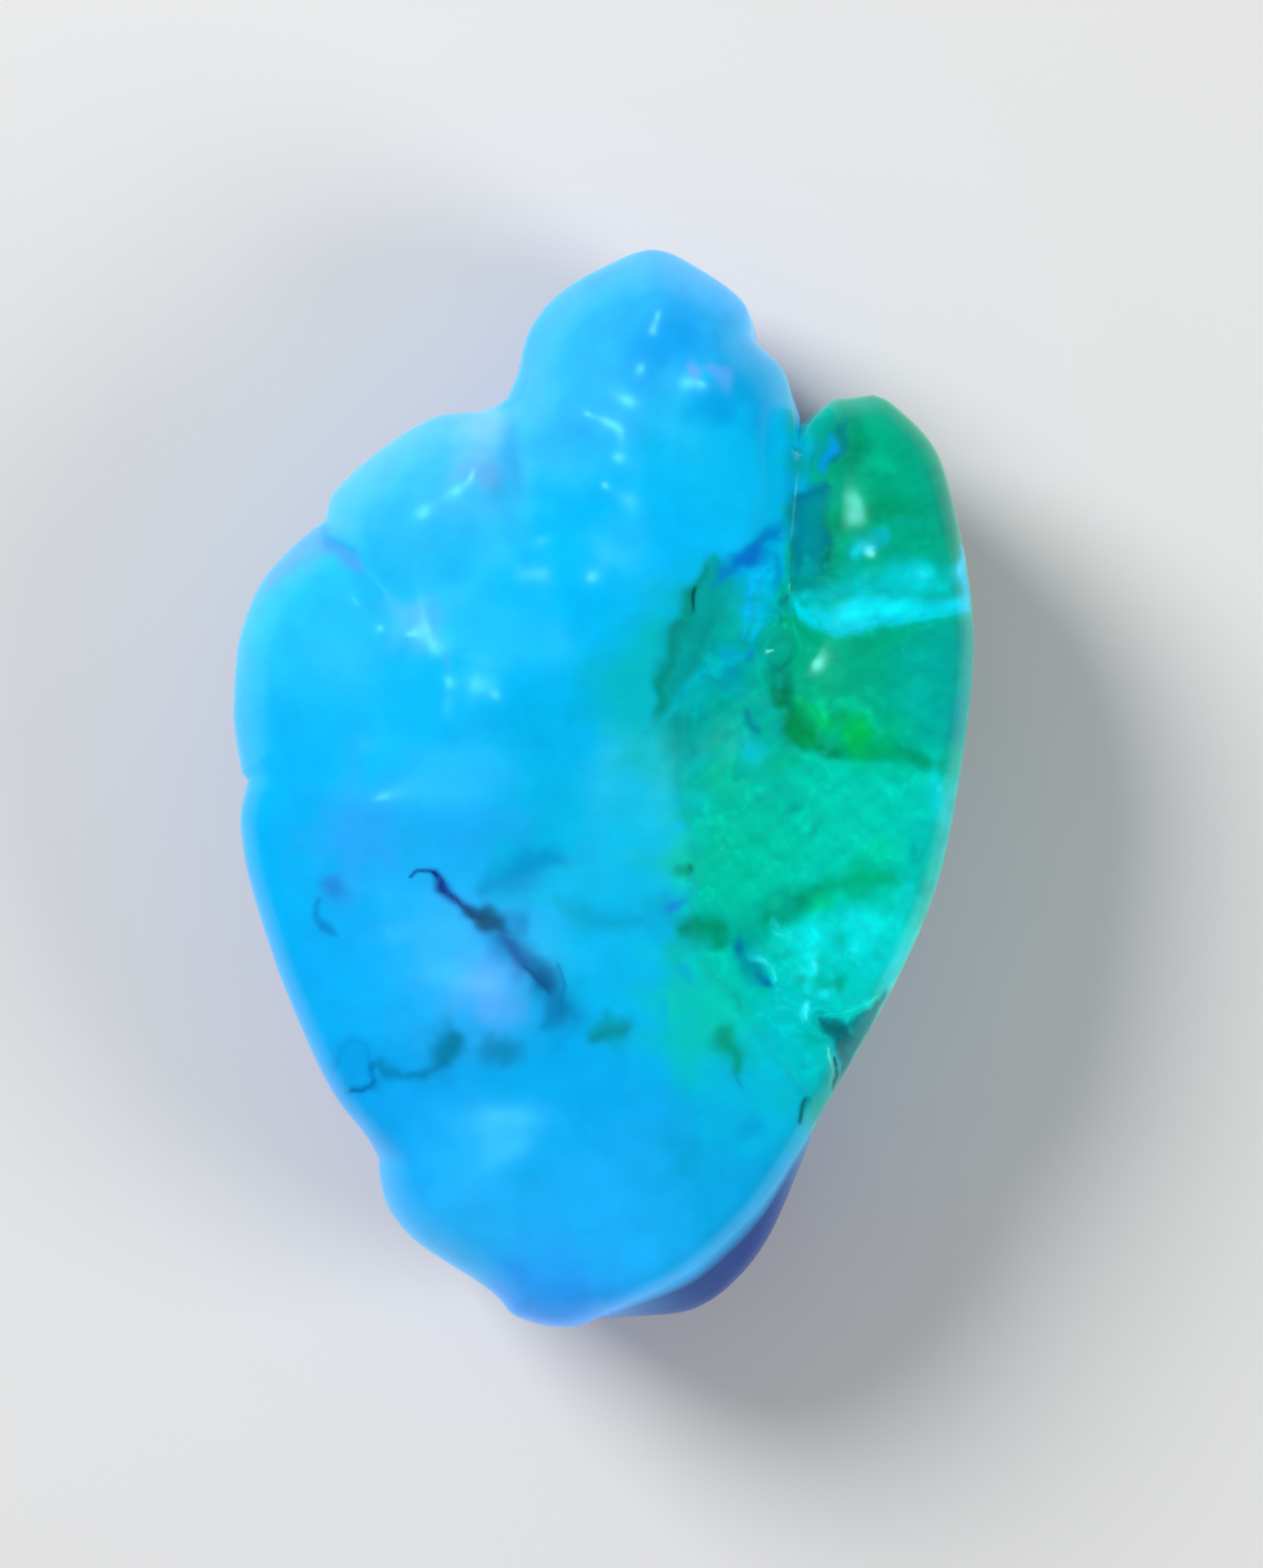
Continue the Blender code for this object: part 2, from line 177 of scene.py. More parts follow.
coarseRim, coarseValues = outlinePoints(0.84)
fineRim, fineValues = outlinePoints(stone["rimStep"])
closedRim = np.vstack([fineRim, fineRim[:1]])
shift = -(coarseRim.min(axis=0) + coarseRim.max(axis=0)) / 2
milkLine = smoothCurve(clearPart["line"], 0.25)


def rimValuesAt(xy):
    apart = (xy[:, :1] - coarseRim[:, 0]) ** 2 + (xy[:, 1:2] - coarseRim[:, 1]) ** 2
    weights = 1 / (apart + 0.8) ** 2
    return weights @ coarseValues / weights.sum(axis=1)[:, None]


def lineDistance(xy, points):
    nearest = np.full(len(xy), np.inf)
    share = np.zeros(len(xy))
    points = np.array(points, float)
    for k, (start, end) in enumerate(zip(points, points[1:])):
        run = end - start
        t = np.clip((xy - start) @ run / (run @ run), 0, 1)
        away = np.hypot(*(xy - start - t[:, None] * run).T)
        share = np.where(away < nearest, (k + t) / (len(points) - 1), share)
        nearest = np.minimum(nearest, away)
    return nearest, share


def insideOf(xy, points):
    inside = np.zeros(len(xy), bool)
    points = np.array(points, float)
    for (ax, ay), (bx, by) in zip(points, np.roll(points, -1, axis=0)):
        if ay == by:
            continue
        crosses = (ay > xy[:, 1]) != (by > xy[:, 1])
        inside ^= crosses & (xy[:, 0] < ax + (xy[:, 1] - ay) * (bx - ax) / (by - ay))
    return inside


def ripple(xy, size, seed):  # a soft irregular field, about -1 to 1
    chance = random.Random(seed)
    total = np.zeros(len(xy))
    for _ in range(8):
        angle, phase = chance.uniform(0, math.tau), chance.uniform(0, math.tau)
        pitch = size * chance.uniform(0.6, 1.9)
        total += np.sin((xy[:, 0] * math.cos(angle) + xy[:, 1] * math.sin(angle)) * math.tau / pitch + phase)
    return np.clip(total / 4, -1, 1)


def smoothStep(low, high, value):
    t = np.clip((value - low) / (high - low), 0, 1)
    return t * t * (3 - 2 * t)


def smoothMax(a, b, blend):
    share = np.clip(0.5 + 0.5 * (a - b) / blend, 0, 1)
    return b + (a - b) * share + blend * share * (1 - share)


def turned(xy, place, half, turn):
    angle = math.radians(turn)
    x, y = (xy - place).T
    across = (x * math.cos(angle) + y * math.sin(angle)) / half[0]
    along = (y * math.cos(angle) - x * math.sin(angle)) / half[1]
    return np.hypot(across, along)


def lobedHeight(xy):
    lobed = np.zeros(len(xy))
    for place, half, turn, top in lobes.values():
        away = turned(xy, place, half, turn)
        foot = stone["frontFoot"]
        dome = foot + (top - foot) * np.sqrt(np.clip(1 - away**2, 0, 1)) - 3 * np.clip(away - 1, 0, None)
        lobed = smoothMax(lobed, dome, stone["lobeBlend"])
    return lobed


def frontHeight(xy, rimDistance):
    lobed = lobedHeight(xy)
    for reach in stone["easing"]:  # eases the bends where lobes meet
        for turn in range(6):
            angle = math.tau * turn / 6 + reach
            lobed += lobedHeight(xy + reach * np.array((math.cos(angle), math.sin(angle))))
    lobed /= 1 + 6 * len(stone["easing"])
    for place, radius, rise in bumps:
        lobed += rise * np.exp(-((np.hypot(*(xy - place).T) / radius) ** 2))
    for points, width, depth in creases.values():
        ends = [1 - np.exp(-((xy - end) ** 2).sum(axis=1) / stone["creaseEnd"] ** 2) for end in (points[0], points[-1])]
        away = lineDistance(xy, smoothCurve(points, 0.3))[0]
        lobed -= depth * ends[0] * ends[1] * np.exp(-((away / width) ** 2))
    rim, edge = rimValuesAt(xy).T[:2]
    rise = np.sqrt(1 - (1 - np.clip(rimDistance / (edge * stone["edgeSpread"]), 0, 1)) ** 2)
    return rim + np.maximum(lobed - rim, 0.3) * rise


def wallPlace(xy, drop, draw):
    outward = xy - np.array(stone["wallCentre"])
    outward /= np.linalg.norm(outward, axis=1)[:, None]
    rim, _, under, growth = rimValuesAt(xy).T
    belly = stone["belly"] * np.exp(-((np.hypot(*(xy - stone["bellyPlace"]).T) / stone["bellyReach"]) ** 2))
    middle = math.sin(math.pi * drop)
    moved = xy + outward * (belly * middle - growth * stone["growthSink"] * middle - under * draw)[:, None]
    return np.column_stack([moved, rim * (1 - drop)])


def wallRings(xy, count):
    rings = []
    for k in range(1, count + 1):
        turn = math.pi / 2 * k / count
        drop = math.sin(turn) ** (2 / stone["wallPower"]) if k < count else 1
        draw = 1 - math.cos(turn) ** (2 / stone["wallPower"]) if k < count else 1
        rings.append(wallPlace(xy, drop, draw))
    return rings


def growthSpots():
    chance = random.Random(stone["growthSeed"])
    places = np.vstack(wallRings(coarseRim, 9)[:-1])
    spots = []
    for _ in range(stone["growthCount"]):
        centre = places[chance.randrange(len(places))]
        spots.append((centre, chance.uniform(*stone["growthRadii"]), stone["growthRise"] * chance.uniform(0.5, 1)))
    return spots


def spacedGrid(low, high, step):
    rows = np.arange(low[1], high[1], step * math.sqrt(0.75))
    grid = [(x, y) for k, y in enumerate(rows) for x in np.arange(low[0] + step / 2 * (k % 2), high[0], step)]
    return np.array(grid)


def insetRow(loop, inset):
    tangent = np.roll(loop, -1, axis=0) - np.roll(loop, 1, axis=0)
    inward = np.column_stack([-tangent[:, 1], tangent[:, 0]]) / np.linalg.norm(tangent, axis=1)[:, None]
    return loop + inward * inset


def triangulated(loop, inner):
    places = np.vstack([loop, inner])
    edges = [(i, (i + 1) % len(loop)) for i in range(len(loop))]
    _, _, triangles, origins, _, _ = delaunay_2d_cdt([Vector(p) for p in places], edges, [], 1, 1e-5)
    source = np.array([origin[0] for origin in origins])
    order = {origin: k for k, origin in enumerate(source)}
    return places[source], triangles, [order[i] for i in range(len(loop))]


def newMesh(name, points, faces, smooth=True):
    mesh = bpy.data.meshes.new(name)
    mesh.from_pydata((np.array(points) * mm).tolist(), [], [list(face) for face in faces])
    mesh.update()
    if smooth:
        mesh.shade_smooth()
    piece = bpy.data.objects.new(name, mesh)
    bpy.context.scene.collection.objects.link(piece)
    return piece


def centred(piece):  # the outline's middle goes over the origin
    piece.data.transform(Matrix.Translation((*(shift * mm), 0)))


def setColours(piece, name, colours):
    layer = piece.data.color_attributes.new(name, "FLOAT_COLOR", "POINT")
    rgba = np.ones((len(piece.data.vertices), 4))
    rgba[:, :3] = colours
    layer.data.foreach_set("color", rgba.ravel())


def pointsOf(piece):
    flat = np.empty(len(piece.data.vertices) * 3)
    piece.data.vertices.foreach_get("co", flat)
    return flat.reshape(-1, 3) / mm


def normalsOf(piece):
    flat = np.empty(len(piece.data.vertices) * 3)
    piece.data.vertex_normals.foreach_get("vector", flat)
    return flat.reshape(-1, 3)


# Colour and painted shading: tones as seen, 0 to 255, laid as soft washes and then marks on top.
def tone(red, green, blue):
    value = np.array((red, green, blue)) / 255
    return np.where(value <= 0.04045, value / 12.92, ((value + 0.055) / 1.055) ** 2.4)


# Washes: place, reach, tone. They blend by nearness. Besides the stone's own tones they hold painted shading, lighter
# on the lobes and darker between them.
washes = (
    ((1.5, 19.5), 2.6, (48, 183, 253)), ((-0.5, 16.5), 2.6, (48, 186, 253)), ((4.5, 12.6), 2.4, (4, 188, 244)),
    ((1.5, 8.5), 2.6, (2, 185, 249)), ((-7.0, 12.0), 2.4, (66, 195, 252)), ((-6.5, 8.6), 2.2, (24, 190, 252)),
    ((-11.0, 6.0), 2.6, (35, 195, 252)), ((-12.5, 2.0), 2.4, (6, 183, 250)), ((-8.0, 2.5), 2.4, (6, 188, 252)),
    ((-2.5, 6.0), 2.6, (2, 189, 252)), ((-1.0, 2.5), 2.6, (1, 181, 242)), ((-1.0, -1.5), 2.4, (2, 183, 230)),
    ((-6.8, -1.0), 2.4, (26, 181, 252)), ((-12.5, -3.0), 2.4, (3, 177, 246)), ((-10.0, -8.0), 2.6, (5, 173, 246)),
    ((-5.0, -7.6), 2.2, (40, 176, 252)), ((0.5, -6.5), 2.4, (2, 182, 239)), ((1.2, -1.0), 1.6, (2, 190, 232)),
    ((-2.0, -12.0), 2.8, (3, 171, 241)), ((-8.0, -12.8), 2.4, (8, 165, 243)), ((-5.5, -16.0), 2.6, (34, 179, 253)),
    ((0.5, -16.5), 2.6, (27, 177, 253)), ((-2.0, -20.0), 2.0, (43, 153, 250)), ((4.2, -15.0), 2.2, (5, 165, 226)),
    ((0.9, 3.6), 1.7, (2, 185, 197)), ((2.4, 6.8), 1.3, (2, 184, 203)), ((2.4, 0.8), 1.4, (2, 186, 196)),
    ((4.0, 6.2), 1.3, (3, 172, 165)), ((10.5, 14.0), 1.8, (4, 172, 148)), ((11.0, 11.5), 2.2, (2, 174, 132)),
    ((13.0, 11.0), 1.6, (2, 154, 138)), ((11.0, 8.6), 2.0, (3, 172, 140)), ((9.6, 4.6), 2.2, (2, 174, 134)),
    ((12.8, 4.2), 1.8, (2, 172, 164)), ((5.4, -2.2), 2.6, (2, 197, 166)), ((5.2, 1.0), 2.0, (2, 178, 165)),
    ((10.2, -1.8), 2.6, (3, 206, 184)), ((13.0, -2.2), 1.6, (3, 184, 190)), ((4.2, -7.6), 2.0, (3, 199, 176)),
    ((9.0, -6.4), 2.2, (4, 205, 200)), ((7.0, -9.4), 2.0, (3, 198, 205)), ((6.0, -12.0), 1.8, (2, 186, 226)),
    ((8.4, -12.0), 1.2, (6, 170, 165)),
)

# Marks: kind, place or line, size, tone, strength, and how far the mark clouds the skin over clear opal.
marks = {
    "crestShade": ("spot", (2.6, 17.0), (1.9, 1.5), 20, (1, 156, 240), 0.75, 0),
    "shoulderShade": ("spot", (5.6, 15.6), (1.5, 1.9), 0, (2, 158, 226), 0.7, 0),
    "shoulderShadeLow": ("spot", (4.6, 14.3), (1.6, 0.8), -25, (1, 160, 232), 0.6, 0),
    "crestLeftShade": ("spot", (0.0, 19.7), (0.8, 0.35), 25, (4, 164, 238), 0.6, 0),
    # Painted highlights: three pale glints where the lamp catches small bumps on the crest.
    "crestGlintOne": ("spot", (3.6, 15.8), (0.35, 0.4), 0, (104, 176, 255), 0.8, 0),
    "crestGlintTwo": ("spot", (4.3, 16.0), (0.4, 0.3), 0, (98, 168, 254), 0.7, 0),
    "crestGlintThree": ("spot", (4.8, 15.7), (0.32, 0.42), 0, (92, 172, 252), 0.7, 0),
    "pocket": ("spot", (-4.5, 13.5), (0.9, 1.9), -8, (112, 206, 253), 0.9, 0),
    "pocketPink": ("spot", (-4.6, 11.9), (0.9, 0.6), 10, (104, 180, 250), 0.7, 0),
    "cheekRim": ("stroke", ((-12.9, 8.0), (-11.5, 9.3), (-10.6, 10.0)), 0.7, (88, 168, 250), 0.75, 0),
    "cheekViolet": ("stroke", ((-10.5, 9.3), (-9.8, 8.7), (-9.2, 8.2)), 0.4, (84, 150, 246), 0.65, 0),
    "creaseShade": ("stroke", ((-10.8, 10.2), (-10.6, 9.6), (-9.4, 8.9)), 0.22, (20, 160, 238), 0.6, 0),
    # Pale mottled spot on the cheek bump, partly the stone's tone and partly a painted highlight.
    "mottle": ("spot", (-7.2, 6.2), (0.9, 1.0), 20, (96, 196, 254), 0.7, 0),
    "mottleLine": ("stroke", ((-6.6, 7.4), (-6.4, 6.0), (-5.8, 4.6)), 0.25, (62, 178, 252), 0.5, 0),
    # Painted sheen: the broad violet lit area on the lip.
    "lipSheen": ("spot", (-9.4, -1.8), (1.6, 2.2), 0, (48, 166, 254), 0.6, 0),
    "lipSheenRight": ("spot", (-5.0, -1.6), (2.6, 1.2), 0, (28, 172, 253), 0.5, 0),
    # Pale violet patch on the pillow, partly its own tone and partly a painted reflection.
    "pillowSheen": ("spot", (-4.2, -7.7), (1.3, 1.3), 0, (88, 176, 255), 0.85, 0),
    "pillowGlow": ("spot", (-8.6, -8.6), (2.2, 1.6), 0, (20, 182, 252), 0.4, 0),
    "seamSmear": ("stroke", ((-4.5, -3.9), (-3.1, -3.3), (-1.7, -2.7)), 0.8, (1, 138, 198), 0.75, 0),
    "seamSmearLow": ("stroke", ((-1.7, -4.4), (-0.3, -5.2), (1.6, -5.2)), 0.55, (1, 158, 196), 0.6, 0),
    "seamStart": ("stroke", ((-7.4, -3.5), (-7.0, -3.3), (-6.6, -3.3), (-6.3, -3.5)), 0.10, (20, 62, 140), 0.9, 0),
    "seamDark": ("stroke", ((-6.5, -3.4), (-6.2, -3.7), (-6.0, -4.0), (-5.6, -4.4), (-5.1, -4.8)), 0.24,
                 (20, 30, 130), 1.0, 0),
    "seamTeal": ("stroke", ((-5.1, -4.8), (-4.5, -5.0), (-4.0, -5.2), (-3.6, -5.5)), 0.36, (13, 66, 112), 0.95, 0),
    "seamGrey": ("stroke", ((-3.8, -5.6), (-3.4, -6.2), (-3.0, -6.8)), 0.40, (32, 92, 168), 0.85, 0),
    "seamThin": ("stroke", ((-3.0, -6.9), (-2.5, -7.3), (-2.2, -7.6), (-2.0, -8.0)), 0.13, (12, 66, 136), 0.9, 0),
    "seamBroad": ("stroke", ((-2.4, -6.8), (-1.8, -7.7), (-1.6, -8.4), (-2.1, -9.2)), 0.62, (2, 132, 182), 0.7, 0),
    "seamDusk": ("spot", (-1.9, -8.0), (0.8, 1.4), 10, (10, 116, 176), 0.65, 0),
    "seamSmudge": ("spot", (-3.6, -6.1), (0.7, 1.3), 40, (20, 78, 150), 0.6, 0),
    "seamBlack": ("spot", (-4.3, -5.1), (0.75, 0.42), -30, (8, 48, 84), 0.8, 0),
    "seamFoot": ("spot", (-2.2, -7.5), (0.36, 0.7), 30, (10, 66, 120), 0.7, 0),
    "seamDuskUp": ("spot", (-3.4, -5.4), (0.9, 0.6), -30, (10, 120, 180), 0.5, 0),
    "seamEdge": ("stroke", ((-1.7, -6.7), (-1.4, -7.6), (-1.6, -8.6)), 0.12, (4, 116, 176), 0.6, 0),
    "ring": ("ring", (-2.2, -5.3), 0.55, 0.12, (36, 176, 250), 0.5, 0),
    "lowHook": ("stroke", ((-9.7, -11.8), (-9.1, -11.6), (-8.8, -11.2), (-8.7, -10.7)), 0.22, (2, 82, 152), 0.85, 0),
    "lowLine": ("stroke", ((-8.7, -10.7), (-8.4, -10.6), (-8.2, -10.8), (-7.7, -11.0), (-6.7, -10.9), (-6.0, -10.6)),
                0.28, (3, 120, 170), 0.7, 0),
    "lowBlob": ("spot", (-5.8, -10.0), (0.62, 0.95), -35, (3, 116, 150), 0.85, 0),
    "lowBlobRight": ("spot", (-3.9, -10.0), (0.85, 0.6), 0, (3, 126, 172), 0.7, 0),
    "loop": ("stroke", ((-10.2, -11.0), (-9.9, -10.3), (-9.6, -9.8), (-9.1, -10.0), (-8.9, -10.5)), 0.18,
             (3, 138, 208), 0.45, 0),
    "loopHaze": ("spot", (-9.3, -10.9), (0.9, 0.9), 0, (3, 148, 216), 0.45, 0),
    "looseSpot": ("stroke", ((-0.3, -9.6), (0.3, -9.4), (0.9, -9.2)), 0.55, (3, 136, 142), 0.85, 0),
    "looseSpotUp": ("stroke", ((0.2, -9.2), (0.1, -8.5)), 0.42, (3, 150, 168), 0.65, 0),
    "leftViolet": ("spot", (-10.4, -3.8), (0.5, 0.6), 0, (36, 122, 214), 0.7, 0),
    "leftLine": ("stroke", ((-10.9, -4.4), (-10.9, -4.9), (-10.7, -5.3), (-10.3, -5.8)), 0.17, (4, 112, 192), 0.65, 0),
    "boundaryGreen": ("stroke", ((2.0, 5.6), (1.2, 3.6), (1.3, 1.2)), 1.3, (2, 183, 184), 0.65, 0),
    "blade": ("shape", ((4.3, 8.7), (4.9, 7.9), (4.75, 7.3), (4.45, 6.3), (4.0, 5.4), (3.5, 4.4), (2.9, 3.5),
                        (2.1, 2.4), (1.85, 2.7), (2.1, 3.9), (2.5, 5.2), (2.9, 6.3), (3.2, 7.3), (3.6, 8.1)), 0.24,
              (1, 154, 146), 0.85, 0),
    "bladeDark": ("stroke", ((3.9, 8.2), (3.3, 7.0), (2.8, 5.8), (2.4, 4.6), (2.05, 3.0)), 0.30, (1, 132, 112), 0.65, 0),
    "bladeEdge": ("stroke", ((4.95, 7.7), (4.7, 6.5), (4.2, 5.3)), 0.20, (1, 140, 130), 0.5, 0),
    "wedge": ("shape", ((4.3, 7.5), (4.4, 8.2), (5.0, 8.8), (5.7, 9.4), (6.3, 9.9), (6.8, 10.1), (6.6, 9.5),
                        (6.1, 8.9), (5.5, 8.4), (4.9, 7.9)), 0.24, (2, 128, 200), 0.9, 0),
    "wedgeCore": ("stroke", ((5.1, 8.5), (5.5, 8.8), (6.0, 9.2)), 0.30, (4, 104, 208), 0.6, 0),
    "wedgeTail": ("stroke", ((6.4, 8.9), (6.45, 8.3), (6.2, 7.7)), 0.26, (2, 138, 204), 0.7, 0),
    "creaseLine": ("stroke", ((7.1, 10.6), (7.1, 9.0), (7.1, 7.6), (6.6, 6.8)), 0.22, (6, 186, 178), 0.55, 0),
    "paleTurn": ("spot", (6.5, 7.3), (0.45, 0.7), -30, (5, 190, 160), 0.5, 0),
    "windowPale": ("spot", (4.9, 6.6), (0.6, 1.1), -12, (4, 184, 168), 0.5, 0),
    "windowBlue": ("stroke", ((5.95, 8.1), (5.65, 7.4), (5.5, 6.6), (5.4, 5.8)), 0.34, (2, 194, 246), 0.9, 0.5),
    "blueSpeck": ("spot", (5.3, 5.1), (0.24, 0.34), 0, (10, 140, 226), 0.85, 0),
    "blueSpeckPale": ("spot", (4.75, 5.1), (0.36, 0.34), 0, (2, 170, 226), 0.6, 0),
    "blueSmear": ("spot", (4.8, 4.2), (0.7, 0.5), 20, (2, 150, 196), 0.6, 0),
    "blueSmearLow": ("spot", (5.3, 3.7), (0.35, 0.3), 0, (2, 158, 200), 0.5, 0),
    "tealColumn": ("spot", (6.7, 4.3), (0.5, 1.1), 8, (2, 148, 138), 0.6, 0),
    "notchUp": ("spot", (6.45, 6.0), (0.16, 0.34), 25, (1, 126, 120), 0.7, 0),
    "notchLow": ("stroke", ((5.6, 2.8), (5.75, 2.4), (6.1, 2.1)), 0.20, (2, 116, 158), 0.8, 0),
    "notchPale": ("spot", (6.9, 2.1), (0.34, 0.34), 0, (4, 188, 212), 0.65, 0),
    "notchPaleUp": ("spot", (6.65, 2.8), (0.3, 0.16), -30, (8, 196, 206), 0.6, 0),
    "cyanSpot": ("spot", (5.7, 1.3), (0.42, 0.66), 0, (4, 200, 224), 0.85, 0),
    "paleCurve": ("stroke", ((2.3, 2.4), (2.9, 3.0), (3.4, 3.4), (4.2, 3.5), (5.0, 3.3)), 0.18, (4, 190, 190), 0.55, 0),
    "darkLens": ("spot", (3.4, 2.1), (0.9, 1.5), -25, (2, 154, 146), 0.75, 0),
    "leafGreen": ("spot", (4.6, 0.3), (1.0, 0.9), 0, (2, 196, 152), 0.5, 0),
    "leafGreenRight": ("spot", (6.9, 0.7), (0.7, 0.4), 20, (6, 200, 150), 0.5, 0),
    "apexRim": ("stroke", ((7.9, 13.2), (8.3, 14.1), (8.9, 14.7), (9.8, 14.9)), 0.40, (5, 196, 178), 0.6, 0),
    "apexBlue": ("stroke", ((8.95, 13.6), (8.8, 12.9), (8.6, 12.2)), 0.34, (4, 146, 236), 0.9, 0.7),
    "apexBlueEdge": ("stroke", ((9.45, 14.1), (9.3, 13.3), (9.0, 12.6)), 0.30, (2, 116, 140), 0.8, 0.6),
    "apexDark": ("spot", (9.9, 12.9), (0.6, 1.1), -20, (2, 136, 94), 0.75, 0),
    "apexPale": ("spot", (10.6, 13.3), (0.4, 0.9), 20, (6, 190, 142), 0.6, 0),
    "apexDim": ("spot", (7.9, 12.3), (0.42, 0.5), -20, (3, 166, 168), 0.6, 0),
    "patch": ("shape", ((7.35, 11.0), (8.0, 11.7), (8.7, 11.7), (8.7, 10.8), (8.9, 9.6), (8.8, 8.4), (8.0, 8.2),
                        (7.4, 8.2)), 0.30, (1, 132, 150), 0.9, 0.6),
    "patchTop": ("stroke", ((7.6, 11.0), (8.1, 11.4), (8.7, 11.6)), 0.30, (1, 114, 150), 0.75, 0.6),
    "patchSide": ("spot", (8.6, 9.3), (0.34, 0.85), 0, (1, 116, 150), 0.7, 0.5),
    "patchSpark": ("spot", (7.9, 8.5), (0.36, 0.24), 20, (6, 176, 176), 0.6, 0.3),
    "fingerDim": ("stroke", ((9.0, 10.0), (9.7, 10.3), (10.7, 10.8), (11.8, 10.6)), 0.85, (2, 150, 104), 0.7, 0),
    "fingerDimSide": ("spot", (13.2, 10.6), (0.7, 1.9), 8, (2, 148, 130), 0.6, 0),
    "fingerPale": ("spot", (12.3, 11.2), (0.7, 0.7), 0, (4, 178, 146), 0.5, 0),
    "spotDark": ("spot", (9.1, 8.6), (0.48, 0.85), 8, (1, 122, 84), 0.85, 0),
    "cornerDark": ("stroke", ((7.4, 8.0), (7.8, 7.8), (8.6, 7.7)), 0.34, (1, 124, 120), 0.75, 0.5),
    "cornerDeep": ("spot", (7.15, 7.1), (0.18, 0.3), 0, (2, 110, 160), 0.6, 0.4),
    # Painted highlight on the finger: a soft haze and its bright glint.
    "fingerGlintHaze": ("stroke", ((10.1, 9.0), (10.4, 9.3), (10.9, 9.6)), 0.34, (6, 190, 212), 0.85, 0.2),
    "fingerGlint": ("spot", (10.2, 9.2), (0.20, 0.26), 0, (60, 228, 250), 0.9, 0.5),
    "sparkFar": ("spot", (11.7, 10.0), (0.36, 0.24), 20, (5, 184, 174), 0.6, 0),
    "bandHaze": ("stroke", ((7.6, 7.0), (9.4, 7.5), (11.2, 7.8), (12.6, 7.8)), 0.70, (3, 200, 212), 0.8, 0),
    "bandHazeHigh": ("spot", (11.7, 8.2), (1.0, 0.42), 5, (4, 208, 222), 0.75, 0),
    # Painted highlight: a glint lower on the finger.
    "fingerGlintLow": ("spot", (12.2, 8.15), (0.26, 0.26), 0, (30, 236, 250), 0.9, 0.4),
    # The bright band: a fracture plane in the clear part, partly its own tone and partly a painted reflection of the
    # light.
    "band": ("shape", ((8.3, 6.1), (9.0, 5.95), (10.2, 6.15), (11.6, 6.4), (12.9, 6.65), (14.2, 6.7), (14.2, 7.3),
                       (12.6, 7.4), (11.0, 7.35), (9.8, 7.2), (8.9, 6.8), (8.2, 6.7)), 0.20, (3, 224, 246), 0.95, 0.25),
    "bandCore": ("stroke", ((9.3, 6.45), (10.4, 6.7), (11.5, 6.95), (12.2, 7.05)), 0.34, (4, 246, 255), 0.9, 0.35),
    "bandEdge": ("stroke", ((8.5, 6.0), (9.6, 6.05), (10.9, 6.35), (12.4, 6.6)), 0.12, (2, 214, 250), 0.7, 0.4),
    "bandLeft": ("stroke", ((7.2, 6.5), (7.5, 6.2), (7.9, 6.0)), 0.26, (4, 186, 226), 0.7, 0),
    # Painted highlight: a small glint at the left end of the band.
    "bandGlint": ("spot", (8.3, 6.6), (0.26, 0.26), 0, (16, 216, 244), 0.85, 0.2),
    "bandUnder": ("stroke", ((8.0, 5.5), (9.3, 5.5), (10.4, 5.6), (12.0, 5.9)), 0.40, (2, 170, 130), 0.7, 0),
    "rimSpark": ("stroke", ((13.75, 9.2), (13.9, 8.4), (13.95, 7.6), (14.0, 6.8)), 0.26, (10, 204, 255), 0.9, 0.3),
    "rimSparkCore": ("spot", (13.85, 8.35), (0.12, 0.35), 0, (70, 226, 255), 0.8, 0.4),
    "belowBandDim": ("spot", (10.6, 4.2), (1.0, 1.1), 0, (2, 166, 138), 0.5, 0),
    "rimTeal": ("spot", (13.4, 5.2), (0.6, 1.2), 0, (2, 160, 160), 0.5, 0),
    "rimBlue": ("stroke", ((13.7, 3.4), (13.5, 2.6), (13.2, 1.9)), 0.26, (2, 142, 178), 0.7, 0),
    "palePatch": ("spot", (12.2, 3.4), (0.9, 0.7), 0, (4, 190, 180), 0.5, 0),
    "oliveTop": ("spot", (7.0, 3.8), (0.6, 0.8), 20, (2, 122, 104), 0.85, 0),
    "olive": ("stroke", ((6.9, 3.6), (7.2, 2.7), (7.6, 2.0), (8.1, 1.5), (8.8, 1.2)), 0.64, (2, 122, 78), 0.95, 0),
    "oliveDeep": ("spot", (7.9, 1.85), (0.34, 0.46), -35, (1, 114, 66), 0.7, 0),
    "oliveRight": ("stroke", ((8.8, 1.3), (10.3, 1.3), (11.8, 1.2), (12.5, 0.7)), 0.62, (2, 152, 108), 0.85, 0),
    "lime": ("spot", (9.9, 1.95), (1.1, 0.62), -5, (1, 192, 70), 0.85, 0),
    "limeSpread": ("spot", (9.2, 2.0), (1.9, 0.9), -5, (2, 186, 90), 0.5, 0),
    "limeUp": ("stroke", ((7.7, 3.2), (8.0, 2.7), (8.6, 2.3)), 0.32, (4, 202, 108), 0.75, 0),
    "limePale": ("spot", (8.45, 3.0), (0.26, 0.42), 0, (8, 216, 160), 0.7, 0),
    "limePaleRight": ("stroke", ((9.3, 3.2), (9.9, 3.0), (10.4, 2.7)), 0.26, (6, 208, 166), 0.65, 0),
    "oliveEdge": ("stroke", ((7.4, 1.2), (8.2, 0.8), (9.6, 0.75), (10.8, 0.7), (12.4, 0.1)), 0.22, (4, 206, 178), 0.7, 0),
    "blob": ("spot", (12.85, -0.45), (0.42, 0.85), 5, (4, 234, 252), 0.95, 0.3),
    "blobCore": ("spot", (12.9, -0.15), (0.14, 0.2), 0, (60, 246, 255), 0.8, 0.4),
    "darkDotOne": ("spot", (7.3, -0.95), (0.36, 0.26), 20, (3, 152, 146), 0.8, 0),
    "darkDotTwo": ("spot", (8.25, -1.65), (0.2, 0.45), -35, (3, 160, 140), 0.75, 0),
